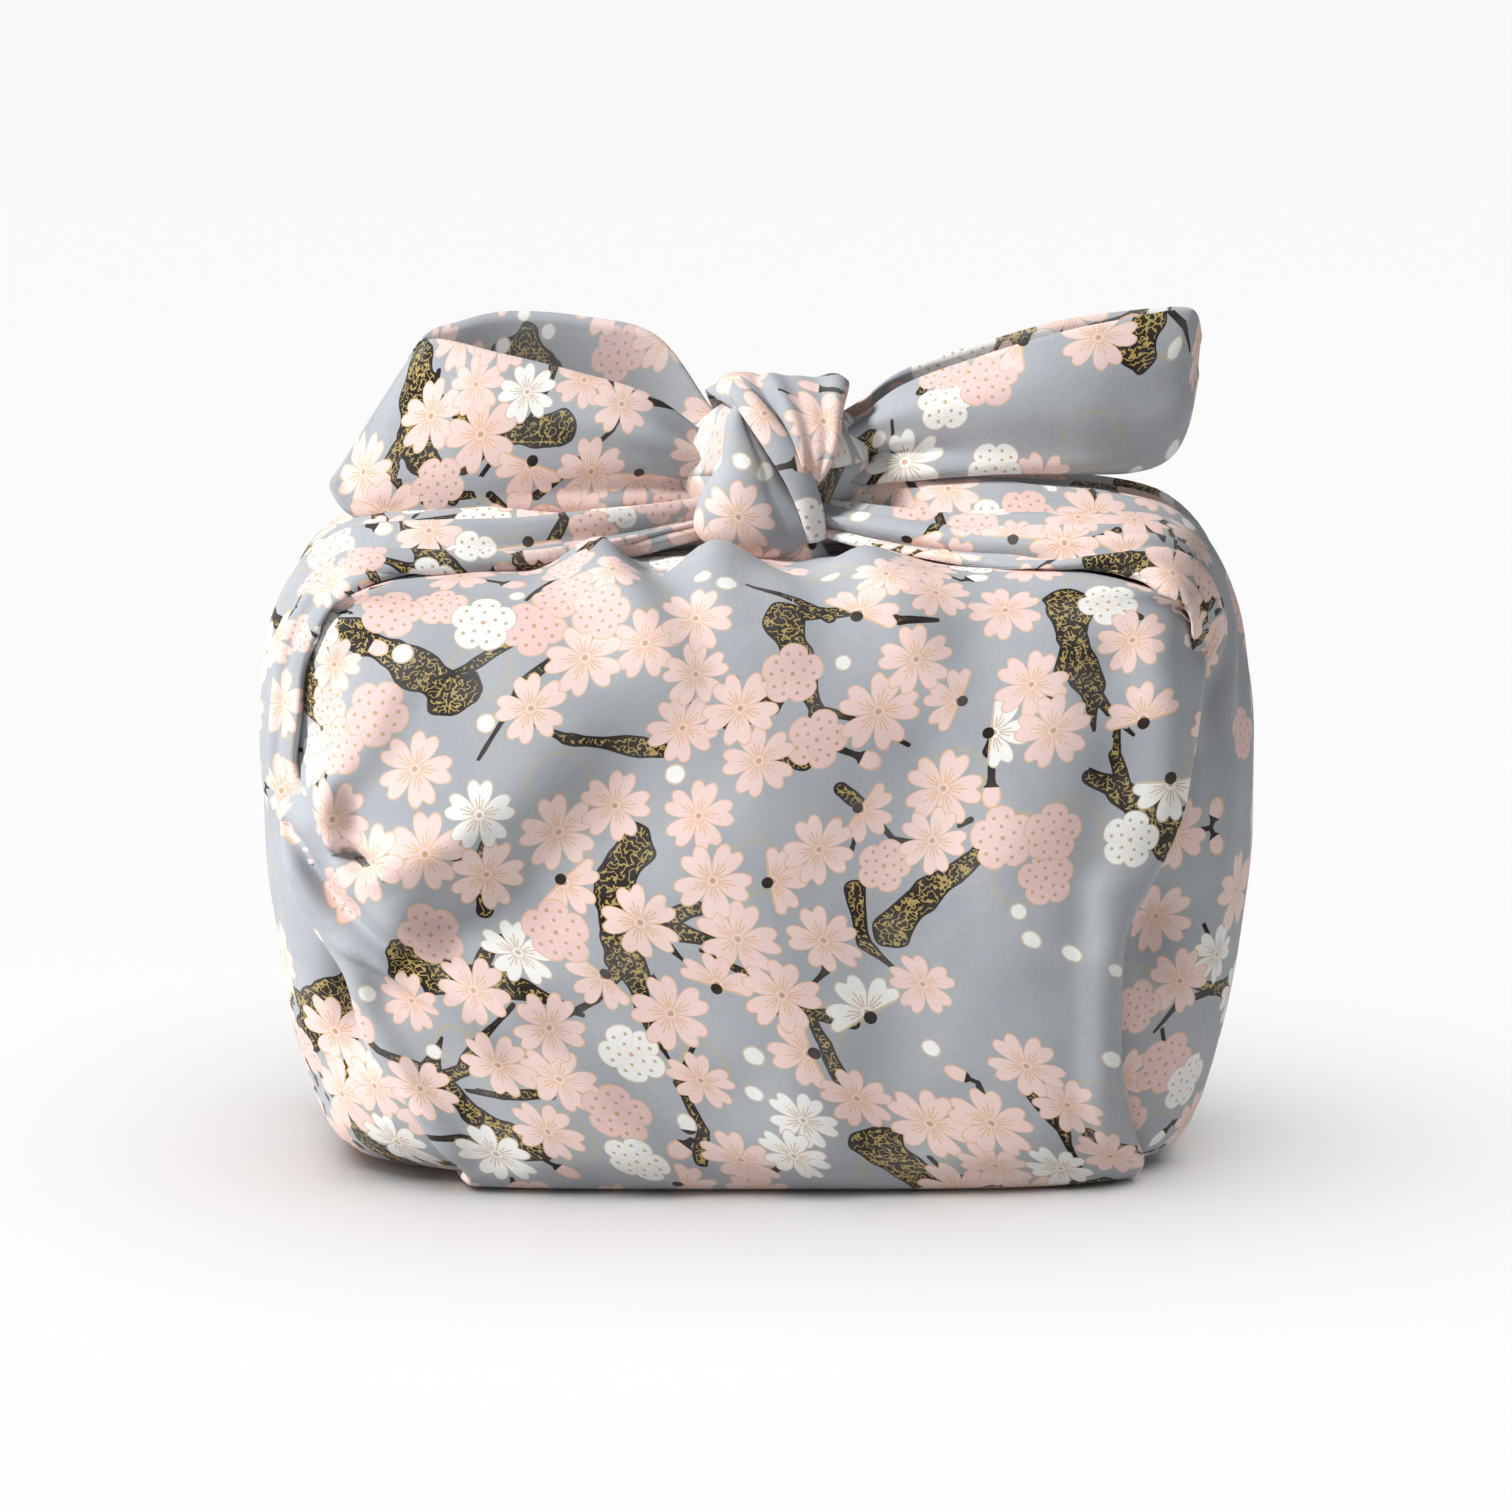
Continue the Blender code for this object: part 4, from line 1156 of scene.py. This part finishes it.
def blossomGroup():
    tree, given, made = newGroup(
        "blossom",
        (("Under", "Color"), ("Gilt", "Float"), ("Place", "Vector"),
         ("Centre", "Vector"), ("Look", "Vector")),
        (("Colour", "Color"), ("Gilt", "Float")),
    )
    centre = parts(tree, given.outputs["Centre"])
    look = parts(tree, given.outputs["Look"])
    level = (1.0, 1.0, 0.0)
    flat = move(tree, "MULTIPLY", given.outputs["Centre"], level)
    away = move(tree, "SUBTRACT", given.outputs["Place"], flat)
    turned = turnBy(tree, away, times(tree, centre[2], -1.0))
    spot = scaleBy(tree, turned, calc(tree, "DIVIDE", 1.0, look[0]))
    x, y, _ = parts(tree, spot)
    far = move(tree, "LENGTH", spot)
    angle = calc(tree, "ARCTAN2", y, x)
    fifth = math.pi / 5
    within = calc(tree, "PINGPONG", angle, fifth)
    share = calc(tree, "DIVIDE", within, fifth)
    kinds = [calc(tree, "COMPARE", look[1], float(kind), 0.5) for kind in range(1, 5)]
    isPlum, isBud, isHalf, isBead = kinds
    cherryRim = curveOf(tree, share, ((0.0, 0.83), (1.0, 0.40), (0.10, 0.89), (0.26, 0.985),
                                      (0.45, 0.99), (0.68, 0.88), (0.86, 0.66)))
    plumRim = curveOf(tree, share, ((0.0, 1.0), (1.0, 0.75), (0.3, 0.985), (0.6, 0.94), (0.85, 0.85)))
    rim = blendValue(tree, isPlum, cherryRim, plumRim)
    gap = minus(tree, rim, far)
    # a half-open blossom shows only the petals on one side, from a small dark cup
    cupFar = move(tree, "LENGTH", move(tree, "ADD", spot, (0.16, 0.0, 0.0)))
    fan = calc(tree, "MINIMUM", gap, plus(tree, x, 0.12))
    gap = blendValue(tree, isHalf, gap, larger(tree, fan, minus(tree, 0.17, cupFar)))
    long = hypotenuse(tree, x, calc(tree, "DIVIDE", y, 0.74))
    gap = blendValue(tree, isBud, gap, minus(tree, 0.98, long))
    gap = blendValue(tree, isBead, gap, minus(tree, 0.98, far))
    mask = ease(tree, gap, -0.008, 0.012)
    # printed lines: the rim, the lines between petals, veins with their tips, and dots
    small = larger(tree, isBud, isBead)
    isCherry = minus(tree, 1.0, isPlum)
    steep = times(tree, isCherry, ease(tree, share, 0.5, 1.0, 0.0, 0.05))
    rimWidth = plus(tree, plus(tree, 0.045, steep), times(tree, small, 0.11))
    rimLine = minus(tree, 1.0, ease(tree, minus(tree, gap, rimWidth), -0.012, 0.012))
    between = times(tree, far, calc(tree, "SINE", minus(tree, fifth, within)))
    between = ease(tree, between, 0.016, 0.032, 1.0, 0.0)
    between = times(tree, between, ease(tree, far, 0.10, 0.16))
    between = times(tree, between, blendValue(tree, isPlum, 0.75, 0.12))
    veins = None
    for at, reach in ((0.0, 0.56), (0.24, 0.44)):
        off = calc(tree, "ABSOLUTE", minus(tree, within, at))
        line = ease(tree, times(tree, far, calc(tree, "SINE", off)), 0.010, 0.026, 1.0, 0.0)
        line = times(tree, line, ease(tree, far, 0.12, 0.18))
        line = times(tree, line, ease(tree, far, reach, reach + 0.03, 1.0, 0.0))
        veins = line if veins is None else larger(tree, veins, line)
    veins = times(tree, veins, isCherry)
    pointX = times(tree, far, calc(tree, "COSINE", within))
    pointY = times(tree, far, calc(tree, "SINE", within))
    dots = ease(tree, far, 0.06, 0.085, 1.0, 0.0)
    for at, ring, size in ((0.0, 0.36, 0.042), (0.30, 0.66, 0.046)):
        offX = minus(tree, pointX, ring * math.cos(at))
        offY = minus(tree, pointY, ring * math.sin(at))
        dot = ease(tree, hypotenuse(tree, offX, offY), size, size + 0.025, 1.0, 0.0)
        dot = times(tree, dot, isPlum)
        dots = larger(tree, dots, dot)
    flower = minus(tree, 1.0, small)
    inner = times(tree, larger(tree, between, veins), flower)
    dots = times(tree, dots, flower)
    lines = larger(tree, rimLine, inner)
    # the calyx of a bud or half-open blossom
    calyx = times(tree, isBud, ease(tree, x, -0.62, -0.54, 1.0, 0.0))
    cup = times(tree, isHalf, ease(tree, cupFar, 0.15, 0.18, 1.0, 0.0))
    calyx = larger(tree, calyx, cup)
    tints = ((0.0, inks["pink"]), (0.5, inks["plum"]), (0.75, inks["plum"]), (0.9, inks["white"]))
    petal = rampOf(tree, look[2], tints)
    glow = ease(tree, far, 0.1, 0.9, 0.12, 0.0)
    petal = blendColour(tree, times(tree, glow, flower), petal, inks["plum"])
    paleLine = blendColour(tree, ease(tree, look[2], 0.8, 0.9, 0.0, 0.55), inks["gold"], inks["ring"])
    inked = blendColour(tree, times(tree, lines, 0.85), petal, paleLine)
    inked = blendColour(tree, times(tree, dots, 0.8), inked, inks["deepGold"])
    inked = blendColour(tree, calyx, inked, inks["bark"])
    tree.links.new(blendColour(tree, mask, given.outputs["Under"], inked), made.inputs["Colour"])
    gilt = times(tree, larger(tree, lines, dots), minus(tree, 1.0, calyx))
    tree.links.new(blendValue(tree, mask, given.outputs["Gilt"], gilt), made.inputs["Gilt"])
    return tree


def branchGroup():
    tree, given, made = newGroup(
        "branch",
        (("Under", "Color"), ("Gilt", "Float"), ("Place", "Vector"), ("Start", "Vector"), ("End", "Vector"),
         ("Rough", "Float"), ("Flecks", "Float")),
        (("Colour", "Color"), ("Gilt", "Float")),
    )
    level = (1.0, 1.0, 0.0)
    start = move(tree, "MULTIPLY", given.outputs["Start"], level)
    end = move(tree, "MULTIPLY", given.outputs["End"], level)
    run = move(tree, "SUBTRACT", end, start)
    away = move(tree, "SUBTRACT", given.outputs["Place"], start)
    square = move(tree, "DOT_PRODUCT", run, run)
    along = calc(tree, "DIVIDE", move(tree, "DOT_PRODUCT", away, run), square, clamp=True)
    gap = move(tree, "LENGTH", move(tree, "SUBTRACT", away, scaleBy(tree, run, along)))
    startRadius = parts(tree, given.outputs["Start"])[2]
    endRadius = parts(tree, given.outputs["End"])[2]
    radius = blendValue(tree, along, startRadius, endRadius)
    # a rough edge on thick lengths, a steady one on thin twigs
    wobble = times(tree, given.outputs["Rough"], times(tree, radius, 0.26))
    inside = minus(tree, plus(tree, radius, wobble), gap)
    mask = ease(tree, inside, -0.00005, 0.00012)
    bark = times(tree, given.outputs["Flecks"], ease(tree, inside, 0.0004, 0.0008))
    bark = times(tree, bark, ease(tree, radius, 0.0007, 0.0014))
    inked = blendColour(tree, bark, inks["bark"], inks["fleck"])
    tree.links.new(blendColour(tree, mask, given.outputs["Under"], inked), made.inputs["Colour"])
    tree.links.new(blendValue(tree, mask, given.outputs["Gilt"], bark), made.inputs["Gilt"])
    return tree


def weaveGroup():
    # Plain weave: threads over and under, as a height, with a slub here and there, and a lit share, high on
    # the thread tops and low in the hollows, that sets painted shade in the hollows
    tree, given, made = newGroup("weave", (("Place", "Vector"), ("Pitch", "Float")),
                                 (("Height", "Float"), ("Lit share", "Float")))
    turned = turnBy(tree, given.outputs["Place"], math.radians(45.0))
    spot = scaleBy(tree, turned, calc(tree, "DIVIDE", math.pi, given.outputs["Pitch"]))
    x, y, _ = parts(tree, spot)
    checker = times(tree, calc(tree, "SINE", x), calc(tree, "SINE", y))
    warp, weft = [calc(tree, "ABSOLUTE", calc(tree, "COSINE", part)) for part in (x, y)]
    ridges = plus(tree, warp, weft)
    slub = noiseOf(tree, given.outputs["Place"], finish["slubScale"], 2.0)
    height = plus(tree, times(tree, checker, 0.5), times(tree, ridges, -0.35))
    height = plus(tree, height, slub)
    tree.links.new(height, made.inputs["Height"])
    # the threads' lit share, for the painted shade in their hollows
    tree.links.new(ease(tree, height, -0.6, 1.1), made.inputs["Lit share"])
    return tree


def cottonMaterial(name, groups, reverse=False):
    material = bpy.data.materials.new(name)
    material.use_nodes = True
    tree = material.node_tree
    shader = tree.nodes["Principled BSDF"]
    spot = tree.nodes.new("ShaderNodeUVMap")
    spot.uv_map = "cloth"
    spot = spot.outputs[0]

    def given(label):
        node = tree.nodes.new("ShaderNodeAttribute")
        node.attribute_type = "GEOMETRY"
        node.attribute_name = label
        return node.outputs["Vector"]

    # faint gold rings and an uneven dye on the ground
    cells = tree.nodes.new("ShaderNodeTexVoronoi")
    cells.inputs["Scale"].default_value = finish["ringScale"]
    tree.links.new(spot, cells.inputs["Vector"])
    ring = calc(tree, "ABSOLUTE", minus(tree, cells.outputs["Distance"], 0.24))
    ring = ease(tree, ring, 0.008, 0.018, 0.75, 0.0)
    dye = ease(tree, noiseOf(tree, spot, finish["dyeScale"], 4.0), 0.35, 0.7, 0.0, 0.10)
    tone = blendColour(tree, ring, inks["ground"], inks["ring"])
    gilt = times(tree, ring, 0.3)
    # bark: an uneven edge and gold flecks that wander
    edge = ease(tree, noiseOf(tree, spot, finish["barkScale"], 0.6), 0.3, 0.7, -1.0, 1.0)
    wander = noiseOf(tree, spot, finish["fleckScale"], 1.0)
    flecks = calc(tree, "ABSOLUTE", minus(tree, wander, 0.5))
    flecks = ease(tree, flecks, 0.022, 0.055, 1.0, 0.0)
    for slot in range(printPlan["twigSlots"]):
        node = useGroup(tree, groups["branch"], Under=tone, Gilt=gilt, Place=spot, Rough=edge, Flecks=flecks,
                     Start=given("twigStart" + str(slot)), End=given("twigEnd" + str(slot)))
        tone, gilt = node.outputs["Colour"], node.outputs["Gilt"]
    for slot in range(printPlan["bloomSlots"]):
        node = useGroup(tree, groups["blossom"], Under=tone, Gilt=gilt, Place=spot,
                     Centre=given("bloomPlace" + str(slot)), Look=given("bloomLook" + str(slot)))
        tone, gilt = node.outputs["Colour"], node.outputs["Gilt"]
    weave = useGroup(tree, groups["weave"], Place=spot, Pitch=finish["threadPitch"])
    tone = blendColour(tree, dye, tone, finish["dyePale"])
    # painted shade: up to 0.16 of black mixed into the colour in the hollows between the threads
    paintedHollowShade = ease(tree, weave.outputs["Lit share"], 0.0, 1.0, 0.16, 0.0)
    shade = blendColour(tree, paintedHollowShade, tone, (0.0, 0.0, 0.0, 1.0))
    if reverse:
        shade = blendColour(tree, 0.14, shade, finish["reversePale"])
    tree.links.new(shade, shader.inputs["Base Color"])
    rough = blendValue(tree, gilt, finish["roughness"], finish["giltRoughness"])
    tree.links.new(rough, shader.inputs["Roughness"])
    shader.inputs["Sheen Weight"].default_value = finish["sheen"]
    shader.inputs["Specular IOR Level"].default_value = finish["specular"]
    # soft wrinkles under the weave
    normal = None
    wrinkle = noiseOf(tree, spot, finish["wrinkleScale"], 3.0, 0.6)
    threads = weave.outputs["Height"]
    for height, deep, strength in ((wrinkle, "wrinkleDepth", 0.45), (threads, "weaveDepth", 0.6)):
        bump = tree.nodes.new("ShaderNodeBump")
        bump.inputs["Distance"].default_value = finish[deep]
        bump.inputs["Strength"].default_value = strength
        tree.links.new(height, bump.inputs["Height"])
        if normal:
            tree.links.new(normal, bump.inputs["Normal"])
        normal = bump.outputs["Normal"]
    tree.links.new(normal, shader.inputs["Normal"])
    return material


markCloth(cloth, facePlaces)
groups = {"blossom": blossomGroup(), "branch": branchGroup(), "weave": weaveGroup()}
cloth.data.materials.append(cottonMaterial("printed cotton", groups))
cloth.data.materials.append(cottonMaterial("cotton reverse", groups, reverse=True))
print("print laid on the cloth")

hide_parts("furoshiki")
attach(cloth, "root")


# The studio: a plain pale floor, one broad soft light from the left and a dim room

studio = {
    "floorSize": 60.0,
    "floorColour": (0.93, 0.93, 0.93, 1),
    "roomColour": (1.0, 1.0, 1.0, 1),
    "roomStrength": 0.26,
    # strength, where it comes from, and its width in degrees
    "key": (5.2, (-0.73, -0.29, 0.62), 12.0),
    "overFloor": (2.52, (0.0, 0.0, 1.0), 90.0),
}


def layFloor():
    bpy.ops.mesh.primitive_plane_add(size=studio["floorSize"], location=(0, 0, 0))
    floor = bpy.context.object
    floor.name = "floor"
    material = bpy.data.materials.new("floor")
    material.use_nodes = True
    shader = material.node_tree.nodes["Principled BSDF"]
    shader.inputs["Base Color"].default_value = studio["floorColour"]
    shader.inputs["Roughness"].default_value = 0.9
    floor.data.materials.append(material)
    return floor


def softLight(name, lit):
    # A broad light that falls on one thing alone
    strength, comesFrom, width = studio[name]
    data = bpy.data.lights.new(name, "SUN")
    data.energy = strength
    data.angle = math.radians(width)
    light = bpy.data.objects.new(name, data)
    bpy.context.scene.collection.objects.link(light)
    light.rotation_euler = Vector(comesFrom).to_track_quat("Z", "Y").to_euler()
    light.light_linking.receiver_collection = bpy.data.collections.new(name + " falls on")
    light.light_linking.receiver_collection.objects.link(lit)


floor = layFloor()
softLight("key", cloth)
softLight("overFloor", floor)
world = bpy.data.worlds.new("studio")
bpy.context.scene.world = world
world.use_nodes = True
world.node_tree.nodes["Background"].inputs["Color"].default_value = studio["roomColour"]
world.node_tree.nodes["Background"].inputs["Strength"].default_value = studio["roomStrength"]
bpy.context.scene.view_settings.view_transform = "Standard"
print("studio lit")

bpy.context.view_layer.update()
